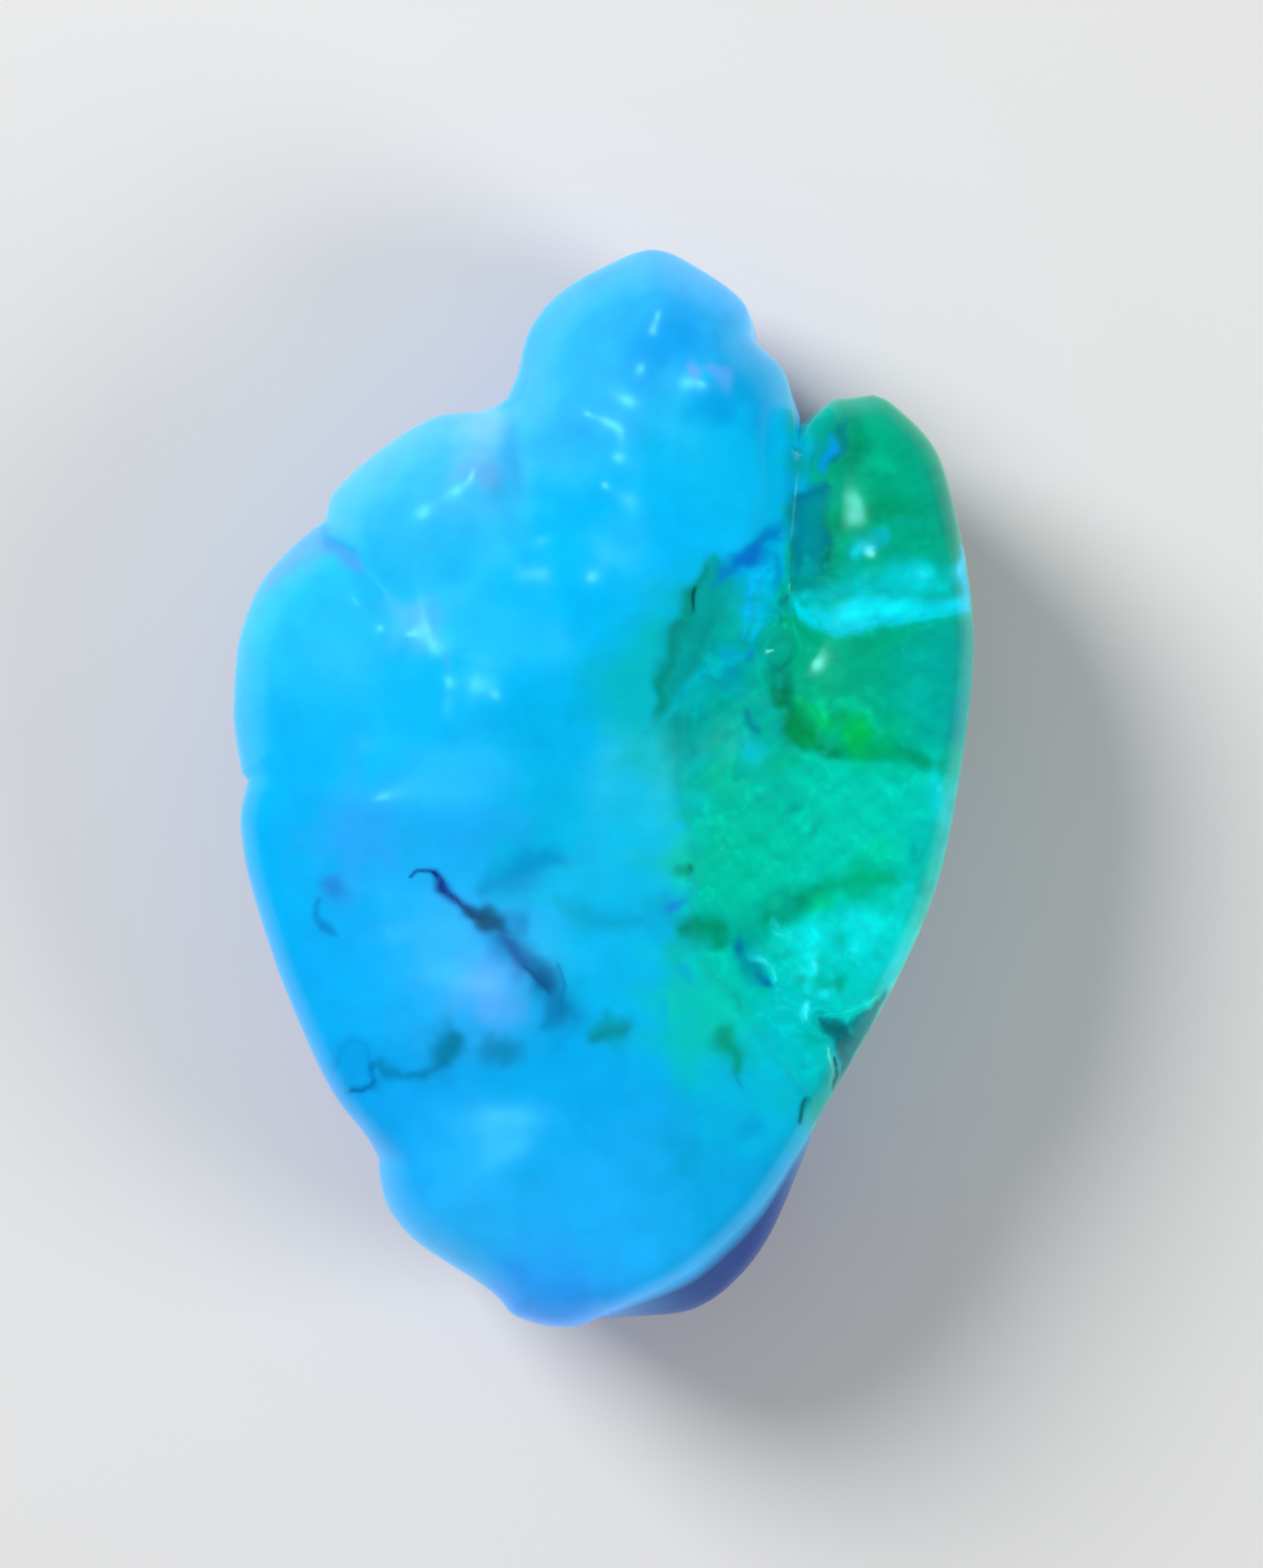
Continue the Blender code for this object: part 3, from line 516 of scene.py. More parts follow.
    "darkDotThree": ("spot", (4.6, -2.5), (0.4, 0.25), 0, (3, 178, 142), 0.6, 0),
    "limeFaint": ("spot", (10.6, -2.4), (0.8, 0.5), 10, (6, 220, 170), 0.55, 0),
    "rimDot": ("spot", (11.75, -2.8), (0.14, 0.4), 0, (2, 144, 146), 0.75, 0),
    "milkSpot": ("spot", (3.05, -1.5), (0.4, 0.42), 0, (8, 196, 236), 0.75, 0),
    "oliveSpot": ("spot", (3.45, -3.2), (0.16, 0.2), 0, (1, 96, 70), 0.85, 0.3),
    "oliveSpotTwin": ("spot", (3.15, -3.4), (0.36, 0.26), 0, (1, 140, 110), 0.7, 0),
    "violetSpot": ("spot", (2.8, -4.5), (0.42, 0.36), 0, (24, 116, 216), 0.85, 0.1),
    "violetHalo": ("spot", (2.5, -4.8), (0.9, 0.7), 0, (2, 150, 206), 0.5, 0),
    "greenStreak": ("stroke", ((2.9, -5.35), (3.6, -5.25), (4.2, -5.5), (4.6, -6.1)), 0.58, (2, 140, 100), 0.9, 0),
    "greenLeft": ("spot", (2.8, -6.1), (0.6, 0.6), 0, (2, 176, 156), 0.5, 0),
    "deepTeal": ("spot", (5.6, -5.6), (0.9, 0.9), 0, (2, 156, 132), 0.7, 0),
    "broadDark": ("stroke", ((6.4, -5.1), (7.0, -4.8), (7.6, -4.5), (8.4, -4.1)), 0.70, (2, 146, 106), 0.9, 0),
    "broadDeep": ("spot", (7.4, -4.6), (0.4, 0.3), 25, (1, 132, 100), 0.6, 0),
    "broadGreen": ("stroke", ((9.0, -3.9), (9.9, -3.6), (11.1, -3.6)), 0.75, (2, 168, 112), 0.8, 0),
    "broadLime": ("spot", (8.5, -4.55), (0.6, 0.34), 20, (2, 192, 96), 0.65, 0),
    "cloudHaze": ("spot", (9.0, -6.2), (2.4, 1.4), 0, (4, 214, 212), 0.6, 0),
    "cloudOne": ("spot", (8.1, -5.6), (0.76, 0.60), 0, (4, 240, 246), 0.95, 0.15),
    "cloudTwo": ("spot", (10.3, -5.35), (0.95, 0.62), 8, (4, 236, 238), 0.95, 0.12),
    "cloudThree": ("spot", (10.6, -6.5), (0.9, 0.9), 0, (4, 218, 226), 0.7, 0),
    "cloudFour": ("spot", (7.9, -6.6), (0.7, 0.5), 0, (4, 222, 218), 0.7, 0.1),
    "holeOne": ("spot", (9.1, -7.5), (0.50, 0.44), 0, (2, 164, 132), 0.85, 0),
    "holeTwo": ("spot", (8.3, -7.3), (0.34, 0.26), 0, (2, 172, 146), 0.65, 0),
    "holeThree": ("spot", (9.1, -6.0), (0.26, 0.42), 0, (2, 180, 156), 0.6, 0),
    "holeFour": ("spot", (7.1, -6.4), (0.36, 0.28), 0, (2, 176, 156), 0.6, 0),
    "indigo": ("stroke", ((5.2, -6.0), (5.5, -6.6), (5.9, -7.1), (6.6, -7.65)), 0.46, (2, 116, 164), 0.65, 0),
    "indigoTop": ("spot", (5.35, -6.3), (0.26, 0.4), 20, (2, 104, 152), 0.7, 0),
    "indigoLow": ("spot", (6.25, -7.5), (0.40, 0.24), -30, (2, 98, 168), 0.8, 0),
    # Painted highlight: a bright T-shaped glint beside the indigo streak.
    "curlGlint": ("spot", (6.15, -6.68), (0.36, 0.13), -12, (60, 240, 255), 0.9, 0.5),
    "curlGlintDrop": ("stroke", ((6.55, -6.85), (6.62, -7.2), (6.6, -7.5)), 0.09, (40, 236, 240), 0.85, 0.5),
    "wispOne": ("stroke", ((7.4, -6.9), (7.6, -7.2), (7.75, -7.5)), 0.12, (20, 232, 216), 0.8, 0.4),
    "wispTwo": ("stroke", ((8.1, -6.5), (8.15, -7.1)), 0.12, (60, 246, 255), 0.95, 0.6),
    "wispThree": ("stroke", ((6.6, -5.65), (7.0, -5.7)), 0.12, (30, 232, 226), 0.8, 0.45),
    "dash": ("stroke", ((7.8, -8.3), (7.78, -8.6), (7.8, -8.95)), 0.13, (80, 246, 255), 0.95, 0.7),
    "dashHalo": ("spot", (7.8, -8.6), (0.26, 0.42), 0, (8, 220, 240), 0.6, 0),
    "crescent": ("stroke", ((8.6, -8.8), (9.3, -8.65), (9.9, -8.4), (10.6, -8.0)), 0.13, (12, 224, 206), 0.85, 0.7),
    "crescentSpot": ("spot", (9.5, -8.3), (0.36, 0.24), 20, (5, 226, 222), 0.7, 0.2),
    "chipGreen": ("spot", (8.2, -9.6), (0.6, 0.4), 0, (3, 166, 150), 0.6, 0),
    "chip": ("shape", ((8.45, -8.98), (9.4, -8.92), (10.1, -8.65), (10.9, -7.9), (11.1, -8.1), (9.15, -11.6),
                       (9.0, -10.6)), 0.10, (2, 118, 124), 0.95, 0.75),
    "chipDeep": ("shape", ((8.6, -9.05), (9.3, -9.1), (9.5, -9.9), (9.4, -11.0), (9.1, -10.4)), 0.14,
                 (1, 96, 104), 0.75, 0.75),
    "chipFleck": ("stroke", ((9.45, -9.1), (9.6, -9.5)), 0.14, (6, 158, 160), 0.6, 0.4),
    "whiteLine": ("stroke", ((8.65, -10.0), (8.75, -10.6), (8.85, -11.3), (8.95, -11.9)), 0.07,
                  (96, 226, 206), 0.95, 0.8),
    "slit": ("stroke", ((8.88, -10.4), (8.97, -10.9), (8.97, -11.3), (8.9, -11.7)), 0.10, (1, 32, 40), 1.0, 0.9),
    "slitSide": ("spot", (8.6, -11.0), (0.26, 0.5), 10, (3, 136, 128), 0.7, 0.2),
    "shortCrack": ("stroke", ((7.75, -11.9), (7.65, -12.4), (7.5, -12.9)), 0.10, (2, 70, 92), 1.0, 0.8),
    "blackCrack": ("stroke", ((3.55, 7.6), (3.5, 7.2), (3.4, 6.7)), 0.08, (1, 50, 54), 0.9, 0.9),
    "rimLine": ("stroke", ((13.05, -3.5), (12.3, -5.5), (11.2, -7.9), (10.1, -9.9), (9.1, -11.7), (8.1, -13.3)), 0.07,
                (86, 206, 196), 0.7, 0.5),
    "tear": ("stroke", ((4.6, -9.3), (4.8, -9.9), (5.15, -10.4), (5.2, -10.9)), 0.66, (2, 150, 122), 0.9, 0),
    "tearTail": ("stroke", ((5.2, -11.1), (5.35, -11.7)), 0.18, (2, 136, 176), 0.6, 0),
    "rimBlob": ("spot", (11.9, -4.05), (0.36, 0.62), -10, (5, 216, 236), 0.85, 0.15),
    "greenCorner": ("spot", (8.3, -12.4), (0.5, 1.0), -30, (4, 176, 160), 0.6, 0),
    "faintOne": ("spot", (5.7, -13.1), (0.6, 0.4), 0, (2, 152, 206), 0.6, 0),
    "faintTwo": ("spot", (3.3, -14.2), (1.0, 0.7), 40, (3, 158, 204), 0.5, 0),
    "faintThree": ("spot", (2.4, -8.6), (0.25, 0.5), 0, (2, 160, 214), 0.5, 0),
    "faintFour": ("spot", (3.2, -7.1), (0.2, 0.5), 30, (2, 156, 214), 0.5, 0),
}

# Fine flecks and wisps scattered in the clear part: middle, spread, count, size, tone, strength, clouding.
scatters = (
    ((8.1, -6.4), (1.3, 0.8), 40, 0.14, (20, 240, 244), 0.8, 0.35),
    ((8.4, -6.9), (1.5, 0.8), 12, 0.24, (2, 168, 150), 0.6, 0),
    ((11.0, 7.2), (1.8, 0.5), 22, 0.10, (30, 242, 250), 0.5, 0.3),
    ((7.9, 8.4), (0.6, 0.5), 12, 0.09, (10, 186, 180), 0.5, 0.3),
    ((6.4, 2.6), (1.5, 2.4), 34, 0.14, (8, 206, 180), 0.45, 0.1),
    ((5.8, 3.4), (1.6, 2.4), 24, 0.15, (2, 138, 140), 0.45, 0),
    ((7.0, -1.8), (2.6, 1.4), 30, 0.13, (8, 216, 180), 0.35, 0.05),
    ((10.8, 12.0), (1.2, 1.6), 20, 0.15, (6, 190, 146), 0.35, 0),
)


def scatteredMarks():
    chance = random.Random(5)
    found = {}
    for group, ((x, y), (wide, high), count, size, rgb, strength, skin) in enumerate(scatters):
        for k in range(count):
            start = (chance.gauss(x, wide), chance.gauss(y, high))
            angle, reach = chance.uniform(0, math.tau), chance.uniform(0.1, 0.6)
            end = (start[0] + reach * math.cos(angle), start[1] + reach * math.sin(angle))
            scale = chance.uniform(0.7, 1.3)
            found[f"fleck{group}_{k}"] = ("stroke", (start, end), size * scale, rgb, strength * scale**2 / 1.7, skin)
    return found


# Painted shade: the ultraviolet light comes from in front, so the wall glows less and is painted darker the lower it
# is, darkest at the belly under the lower right flank.
wallShade = {
    "reach": 4.0,
    "low": (0.35, 0.30, 0.52),
    # the belly's dark blue is painted shade, the wall there being out of the light
    "belly": (1, 52, 132),
}


# Places where the front is less polished: place, reach, strength.
dullPlaces = (
    ((-4.5, 7.1), 1.4, 1.0), ((-2.6, 6.2), 1.4, 1.0), ((-4.2, 9.3), 1.0, 0.8), ((0.7, 9.5), 1.0, 0.8),
    ((-5.4, 0.8), 2.0, 1.0), ((-6.4, -5.3), 1.2, 0.8), ((-4.2, -15.2), 3.0, 0.55),
    ((-3.9, -5.6), 2.2, 1.0), ((-8.9, 8.1), 1.2, 0.9), ((-6.9, 7.7), 0.9, 0.8),
)


def polishOf(xy, clear):
    milky, glassy, dull = opalFinish["roughness"]
    polish = milky + (glassy - milky) * clear
    for place, reach, strength in dullPlaces:
        polish += (dull - polish) * strength * np.exp(-((np.hypot(*(xy - place).T) / reach) ** 2))
    return polish


def markMask(xy, mark, uneven):
    kind, place, size = mark[:3]
    if kind == "spot":
        away = turned(xy, place, size, mark[3]) / uneven
        return np.exp(-1.1 * away**2.6)
    if kind == "ring":
        away = np.hypot(*(xy - place).T)
        return np.exp(-(((away - size) / mark[3]) ** 2))
    if kind == "shape":
        away = lineDistance(xy, (*place, place[0]))[0]
        return smoothStep(-size, size, np.where(insideOf(xy, place), away, -away))
    away, share = lineDistance(xy, place)
    taper = 0.55 + 0.45 * np.sin(np.pi * share)
    return np.exp(-((away / (size * taper * uneven)) ** 2) * 1.1)


def painted(xy, near):  # tone at each place, and how cloudy the skin is there; near is 1 on the front
    wobble = np.column_stack([ripple(xy, 2.2, 31), ripple(xy, 2.2, 32)])
    fine = np.column_stack([ripple(xy, 0.7, 33), ripple(xy, 0.7, 34)])
    colours, total = np.zeros((len(xy), 3)), np.zeros(len(xy))
    for place, reach, rgb in washes:
        weight = np.exp(-(((xy + 0.5 * wobble - place) ** 2).sum(axis=1)) / reach**2) + 1e-7
        colours += weight[:, None] * tone(*rgb)
        total += weight
    colours /= total[:, None]
    cloud = np.zeros(len(xy))
    uneven = 1 + 0.3 * ripple(xy, 1.4, 36)
    for mark in (*marks.values(), *scatteredMarks().values()):
        small = mark[0] == "stroke" and mark[2] < 0.15
        moved = xy + (0.06 if small else 0.14) * wobble + (0.05 if small else 0.10) * fine
        mask = near * markMask(moved, mark, uneven)
        rgb, strength, skin = mark[-3:]
        colours += (mask * strength)[:, None] * (tone(*rgb) - colours)
        cloud = np.maximum(cloud, mask * skin)
    threads = np.clip(1 - np.abs(ripple(xy + 0.3 * fine, 4.0, 35)) / 0.10, 0, 1) * smoothStep(0, 2, clearInside(xy))
    mottle = 0.09 * ripple(xy, 0.8, 37) + 0.05 * ripple(xy, 0.4, 38)
    colours *= (1 + near * (0.20 * threads + mottle * smoothStep(0, 3, clearInside(xy))))[:, None]
    return colours, cloud


def clearInside(xy):  # distance into the clear part, below zero in the milk
    away = lineDistance(xy, milkLine)[0]
    return np.where(insideOf(xy, (*milkLine, *clearPart["farSide"])), away, -away)


def milkDepth(xy):  # thickness of clear opal over the milk
    fall = clearPart["fall"] + (clearPart["topFall"] - clearPart["fall"]) * smoothStep(6.5, 9.5, xy[:, 1])
    depth = clearPart["depth"] * (1 - np.exp(-((np.clip(clearInside(xy), 0, None) / fall) ** 2)))
    uneven = clearPart["unevenness"] * ripple(xy, 2.6, 41) * np.clip(depth / 2, 0, 1)
    return np.maximum(depth + uneven, clearPart["cover"])


def clearnessOf(thickness):
    return smoothStep(*clearPart["clearing"], thickness)


def rimDistanceOf(xy):
    return lineDistance(xy, closedRim)[0]


def skinPoints():
    rows = [insetRow(fineRim, inset) for inset in stone["rimInsets"]]
    kept = [row[rimDistanceOf(row) > 0.93 * inset] for row, inset in zip(rows, stone["rimInsets"])]
    grid = spacedGrid(fineRim.min(axis=0), fineRim.max(axis=0), stone["frontStep"])
    grid = grid[insideOf(grid, fineRim)]
    grid = grid[rimDistanceOf(grid) > stone["rimInsets"][-1] + 0.5 * stone["frontStep"]]
    closeRows = []
    for mark in marks.values():  # more points along the fine cracks
        if mark[0] == "stroke" and mark[2] < 0.15 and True:
            line = smoothCurve(mark[1], 0.07)
            for offset in (-0.18, -0.11, -0.05, 0, 0.05, 0.11, 0.18):
                row = insetRow(np.vstack([line, mark[1][-1]]), offset)[1:-1]
                closeRows.append(row[rimDistanceOf(row) > 0.5])
    if closeRows:
        close = np.vstack(closeRows)
        cells = {tuple(cell) for cell in np.round(close / 0.12).astype(int)}
        far = [tuple(cell) not in cells for cell in np.round(grid / 0.12).astype(int)]
        grid = np.vstack([grid[far], close[insideOf(close, fineRim)]])
    return np.vstack([*kept, grid])


def buildSkin():
    xy, triangles, rim = triangulated(fineRim, skinPoints())
    rimDistance = rimDistanceOf(xy)
    height = frontHeight(xy, rimDistance)
    height[rim] = rimValuesAt(fineRim)[:, 0]
    points = [np.column_stack([xy, height])]
    faces = [tuple(reversed(t)) if clockwise(xy[list(t)]) else tuple(t) for t in triangles]
    rings, count, start = [rim], len(rim), len(xy)
    for ring in wallRings(fineRim, stone["wallRings"]):
        points.append(ring)
        rings.append(list(range(start, start + count)))
        start += count
    for upper, lower in zip(rings, rings[1:]):
        for i in range(count):
            j = (i + 1) % count
            faces.append((upper[i], lower[i], lower[j], upper[j]))
    back, backTriangles, backRim = triangulated(points[-1][:, :2], spacedGrid((-12, -19), (12, 19), 1.5)[
        insideOf(spacedGrid((-12, -19), (12, 19), 1.5), insetRow(points[-1][:, :2], 0.9))])
    inner = [k for k in range(len(back)) if k not in set(backRim)]
    index = {k: rings[-1][i] for i, k in enumerate(backRim)}
    index.update({k: start + i for i, k in enumerate(inner)})
    points.append(np.column_stack([back[inner], np.zeros(len(inner))]))
    for t in backTriangles:
        t = tuple(t) if clockwise(back[list(t)]) else tuple(reversed(t))
        faces.append(tuple(index[k] for k in t))
    points = np.vstack(points)
    skin = newMesh("opal_skin", points, faces)
    raiseGrowths(skin, points, np.arange(len(xy), start - count))
    return skin, len(xy)


def clockwise(corners):
    a, b, c = corners
    return (b[0] - a[0]) * (c[1] - a[1]) - (b[1] - a[1]) * (c[0] - a[0]) < 0


def raiseGrowths(skin, points, wall):
    raised = np.zeros(len(wall))
    places = points[wall]
    for centre, radius, rise in growthSpots():
        away = np.linalg.norm(places - centre, axis=1) / radius
        raised = np.maximum(raised, rise * np.sqrt(np.clip(1 - away**2, 0, 1)))
    rim, _, _, growth = rimValuesAt(places[:, :2]).T
    raised *= growth * np.clip(places[:, 2] / 1.6, 0, 1) * np.clip((rim - places[:, 2]) / stone["growthTop"], 0, 1)
    points[wall] += normalsOf(skin)[wall] * raised[:, None]
    skin.data.vertices.foreach_set("co", (points * mm).ravel())
    skin.data.update()


def paintSkin(skin, frontCount):
    points = pointsOf(skin)
    xy, height = points[:, :2].copy(), points[:, 2]
    rings = stone["wallRings"]
    wall = slice(frontCount, frontCount + rings * len(fineRim))
    rim = np.tile(rimValuesAt(fineRim)[:, 0], rings)
    below = rim - height[wall]
    tangent = np.roll(fineRim, -1, axis=0) - np.roll(fineRim, 1, axis=0)
    inward = np.column_stack([-tangent[:, 1], tangent[:, 0]]) / np.linalg.norm(tangent, axis=1)[:, None]
    # The wall takes its tones from just inside the rim, and from further in the lower it is.
    xy[wall] = np.tile(fineRim, (rings, 1)) + np.tile(inward, (rings, 1)) * (0.5 + 0.6 * below)[:, None]
    near = np.ones(len(xy))
    near[wall] = np.exp(-((below / 1.1) ** 2))
    near[wall.stop:] = 0
    colours, cloud = painted(xy, near)
    reach, most = clearPart["rimCloud"]
    rimCloud = most * (1 - smoothStep(0, reach, rimDistanceOf(points[:, :2])))
    rimCloud[frontCount:] = most
    clear = clearnessOf(milkDepth(xy)) * (1 - np.maximum(cloud, rimCloud))
    front = frontHeight(xy[wall], rimDistanceOf(xy[wall]))
    along = np.tile(np.arange(len(fineRim)) * stone["rimStep"], rings)
    edge = front - milkDepth(xy[wall]) + 0.5 * ripple(np.column_stack([along, height[wall]]), 3.0, 42)
    clear[wall] *= smoothStep(-0.5, 1.0, height[wall] - edge)
    clear[wall.stop:] = 0
    # Painted shade: the wall darkens with its depth below the rim, and the back is darkest.
    shade = np.zeros(len(xy))
    shade[wall] = smoothStep(0, wallShade["reach"], below)
    shade[wall.stop:] = 1
    colours *= 1 + shade[:, None] * (np.array(wallShade["low"]) - 1)
    # Painted shade: the belly under the lower right flank goes dark blue.
    belly = np.exp(-((np.hypot(*(points[:, :2] - stone["bellyPlace"]).T) / 5.2) ** 4)) * smoothStep(0, 0.05, shade)
    colours += belly[:, None] * (tone(*wallShade["belly"]) - colours)
    setColours(skin, "glow", colours)
    setColours(skin, "clearness", np.repeat(clear[:, None], 3, axis=1))
    setColours(skin, "polish", np.repeat(polishOf(xy, clear)[:, None], 3, axis=1))


def buildMilkBed():
    step = clearPart["step"] * 1
    loop = insetRow(fineRim[:: max(1, round(0.3 / stone["rimStep"]))], clearPart["inset"])
    loop = loop[rimDistanceOf(loop) > 0.9 * clearPart["inset"]]
    grid = spacedGrid(fineRim.min(axis=0), fineRim.max(axis=0), step)
    grid = grid[insideOf(grid, loop)]
    grid = grid[clearInside(grid) > -0.6]
    grid = grid[lineDistance(grid, np.vstack([loop, loop[:1]]))[0] > 0.5 * step]
    xy, triangles, _ = triangulated(loop, grid)
    into = clearInside(xy)
    used = [t for t in triangles if min(into[k] for k in t) > -0.3]
    kept = sorted({k for t in used for k in t})
    index = {k: i for i, k in enumerate(kept)}
    xy = xy[kept]
    depth = milkDepth(xy)
    upper = np.column_stack([xy, np.maximum(frontHeight(xy, rimDistanceOf(xy)) - depth, clearPart["lowest"])])
    lower = upper - (0, 0, 0.25)
    faces, edges = [], {}
    for t in used:
        t = tuple(index[k] for k in t)
        t = tuple(reversed(t)) if clockwise(xy[list(t)]) else t
        faces.append(t)
        faces.append(tuple(k + len(kept) for k in reversed(t)))
        for a, b in zip(t, t[1:] + t[:1]):
            edges[(a, b)] = (b, a)
    for (a, b), back in edges.items():
        if back not in edges:
            faces.append((b, a, a + len(kept), b + len(kept)))
    bed = newMesh("milk_bed", np.vstack([upper, lower]), faces)
    colours, _ = painted(xy, np.ones(len(xy)))
    lost = (1 - np.array(opalFinish["absorbTint"][:3])) * opalFinish["absorbDensity"] * mm
    colours = colours * np.exp(lost * depth[:, None])  # what the clear opal over it takes away
    setColours(bed, "glow", np.vstack([colours, colours]))
    return bed


def newMaterial(name):
    material = bpy.data.materials.new(name)
    material.use_nodes = True
    tree = material.node_tree
    return material, tree, tree.nodes["Principled BSDF"]


def addNode(tree, kind, **settings):
    node = tree.nodes.new(kind)
    for key, value in settings.items():
        if key in node.inputs:
            node.inputs[key].default_value = value
        else:
            setattr(node, key, value)
    return node


def attributeNode(tree, name):
    return addNode(tree, "ShaderNodeAttribute", attribute_name=name)


opalFinish = {
    "glowShare": 0.57,       # part of the tone that is the stone's own glow
    "bodyShare": 0.48,       # part that the light shows
    "roughness": (0.26, 0.15, 0.5),  # in the milk, where it is clear, where it is dull
    "shine": 0.9,
    "shineTint": (0.10, 0.32, 0.34, 1),
    "ior": 1.45,
    "clearTint": (0.03, 0.96, 0.90, 1),
    "absorbTint": (0.05, 0.90, 0.72, 1),
    "absorbDensity": 130.0,
    "rippleSize": 420.0,     # noise cells to a metre
    "rippleHeight": 0.05,
}


def opalMaterial():
    material, tree, surface = newMaterial("opal")
    link = tree.links.new
    glow, clear = attributeNode(tree, "glow"), attributeNode(tree, "clearness")
    place = addNode(tree, "ShaderNodeTexCoord")
    clouds = addNode(tree, "ShaderNodeTexNoise", Scale=900.0, Detail=3.0, Roughness=0.55)
    link(place.outputs["Object"], clouds.inputs["Vector"])
    spread = addNode(tree, "ShaderNodeMapRange")
    for key, value in (("From Min", 0.3), ("From Max", 0.7), ("To Min", 0.95), ("To Max", 1.05)):
        spread.inputs[key].default_value = value
    link(clouds.outputs["Fac"], spread.inputs["Value"])
    varied = addNode(tree, "ShaderNodeVectorMath", operation="SCALE")
    link(glow.outputs["Color"], varied.inputs[0])
    link(spread.outputs["Result"], varied.inputs["Scale"])
    body = addNode(tree, "ShaderNodeVectorMath", operation="SCALE")
    body.inputs["Scale"].default_value = opalFinish["bodyShare"]
    link(varied.outputs["Vector"], body.inputs[0])
    base = addNode(tree, "ShaderNodeMix", data_type="RGBA")
    bare = addNode(tree, "ShaderNodeMath", operation="POWER")  # pale only where the opal is fully clear
    link(clear.outputs["Fac"], bare.inputs[0])
    bare.inputs[1].default_value = 6.0
    link(bare.outputs["Value"], base.inputs["Factor"])
    link(body.outputs["Vector"], base.inputs["A"])
    base.inputs["B"].default_value = opalFinish["clearTint"]
    link(base.outputs["Result"], surface.inputs["Base Color"])
    covered = addNode(tree, "ShaderNodeMath", operation="POWER")
    link(clear.outputs["Fac"], covered.inputs[0])
    covered.inputs[1].default_value = 2.6
    milky = addNode(tree, "ShaderNodeMath", operation="SUBTRACT")
    milky.inputs[0].default_value = 1.0
    link(covered.outputs["Value"], milky.inputs[1])
    shining = addNode(tree, "ShaderNodeVectorMath", operation="SCALE")
    link(varied.outputs["Vector"], shining.inputs[0])
    link(milky.outputs["Value"], shining.inputs["Scale"])
    link(shining.outputs["Vector"], surface.inputs["Emission Color"])
    surface.inputs["Emission Strength"].default_value = opalFinish["glowShare"]
    link(clear.outputs["Fac"], surface.inputs["Transmission Weight"])
    link(attributeNode(tree, "polish").outputs["Fac"], surface.inputs["Roughness"])
    surface.inputs["Specular IOR Level"].default_value = opalFinish["shine"]
    surface.inputs["IOR"].default_value = opalFinish["ior"]
    surface.inputs["Specular Tint"].default_value = opalFinish["shineTint"]
    waves = addNode(tree, "ShaderNodeTexNoise", Scale=opalFinish["rippleSize"], Detail=2.0)
    link(place.outputs["Object"], waves.inputs["Vector"])
    bump = addNode(tree, "ShaderNodeBump", Strength=opalFinish["rippleHeight"], Distance=0.001)
    link(waves.outputs["Fac"], bump.inputs["Height"])
    link(bump.outputs["Normal"], surface.inputs["Normal"])
    absorb = addNode(tree, "ShaderNodeVolumeAbsorption", Color=opalFinish["absorbTint"],
                     Density=opalFinish["absorbDensity"])
    link(absorb.outputs["Volume"], tree.nodes["Material Output"].inputs["Volume"])
    return material


def milkMaterial():
    material, tree, surface = newMaterial("milk")
    link = tree.links.new
    glow = attributeNode(tree, "glow")
    body = addNode(tree, "ShaderNodeVectorMath", operation="SCALE")
    body.inputs["Scale"].default_value = 0.3
    link(glow.outputs["Color"], body.inputs[0])
    link(body.outputs["Vector"], surface.inputs["Base Color"])
    link(glow.outputs["Color"], surface.inputs["Emission Color"])
    surface.inputs["Emission Strength"].default_value = 0.90
    surface.inputs["Roughness"].default_value = 0.6
    surface.inputs["Specular IOR Level"].default_value = 0.0
    return material


# Studio: floor, lights and the camera that looks down on the front.
studio = {
    "floorSize": 3000,
    "floorTone": (0.80, 0.80, 0.80, 1),
    "world": (0.22, 0.22, 0.22, 1),
    "lens": 112.0,
    "sensor": 36.0,
    "camera": (1.13, 0.18, 197.2),
}


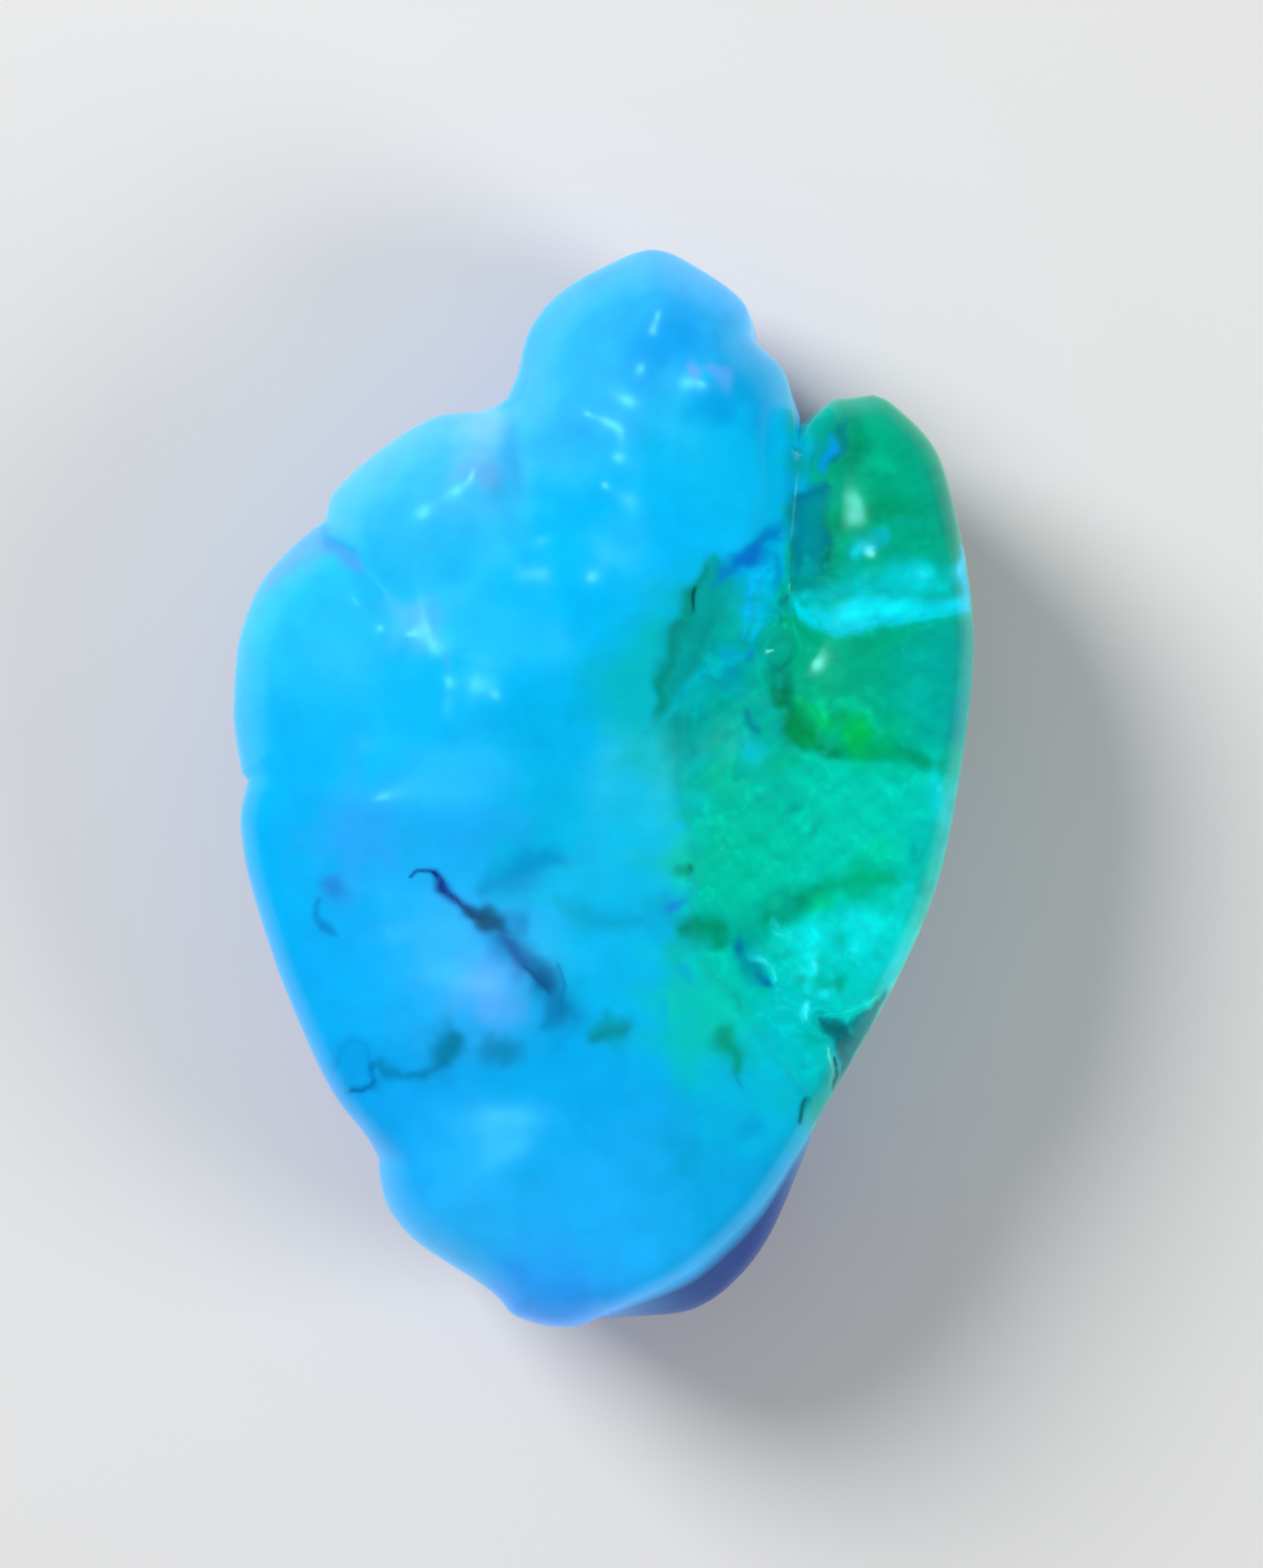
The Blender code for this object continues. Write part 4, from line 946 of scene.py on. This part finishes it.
def buildFloor():
    half = studio["floorSize"] / 2
    floor = newMesh("floor", [(-half, -half, 0), (half, -half, 0), (half, half, 0), (-half, half, 0)],
                    [(0, 1, 2, 3)], smooth=False)
    material, _, surface = newMaterial("floor")
    surface.inputs["Base Color"].default_value = studio["floorTone"]
    surface.inputs["Roughness"].default_value = 0.9
    surface.inputs["Specular IOR Level"].default_value = 0.1
    floor.data.materials.append(material)


def addArea(name, place, target, size, watts, tint=(1, 1, 1)):
    light = bpy.data.lights.new(name, "AREA")
    light.shape = "DISK"
    light.size = size * mm
    light.energy = watts
    light.color = tint
    lamp = bpy.data.objects.new(name, light)
    lamp.location = Vector(place) * mm
    lamp.rotation_euler = (Vector(place) - Vector(target)).to_track_quat("Z", "Y").to_euler()
    bpy.context.scene.collection.objects.link(lamp)
    return lamp


def buildStudio():
    buildFloor()
    world = bpy.data.worlds.new("studio")
    world.use_nodes = True
    world.node_tree.nodes["Background"].inputs["Color"].default_value = studio["world"]
    bpy.context.scene.world = world
    for name, place, size, watts in (("window", (-330, 260, 300), 260, 2.6), ("fill", (380, -120, 220), 260, 1.0)):
        soft = addArea(name, place, (0, 0, 6), size, watts)
        soft.visible_glossy = False
        soft.visible_transmission = False
    spark = addArea("spark", (-20, 54, 210), (0, 0, 8), 34, 0.16)
    spark.visible_diffuse = False
    camera = bpy.data.cameras.new("camera")
    camera.lens = studio["lens"]
    camera.sensor_fit = "VERTICAL"
    camera.sensor_height = studio["sensor"]
    camera.clip_start = 0.005
    camera.clip_end = 10
    eye = bpy.data.objects.new("camera", camera)
    eye.location = Vector(studio["camera"]) * mm
    bpy.context.scene.collection.objects.link(eye)
    bpy.context.scene.camera = eye
    bpy.context.scene.view_settings.view_transform = "Standard"


buildStudio()
print("studio ready")

skin, frontCount = buildSkin()
paintSkin(skin, frontCount)
centred(skin)
skin.data.materials.append(opalMaterial())
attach(skin, "root")
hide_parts("hyalite_opal")
print("skin:", len(skin.data.polygons), "faces")

bed = buildMilkBed()
centred(bed)
bed.data.materials.append(milkMaterial())
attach(bed, "root")
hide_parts("hyalite_opal")
print("milk bed:", len(bed.data.polygons), "faces")
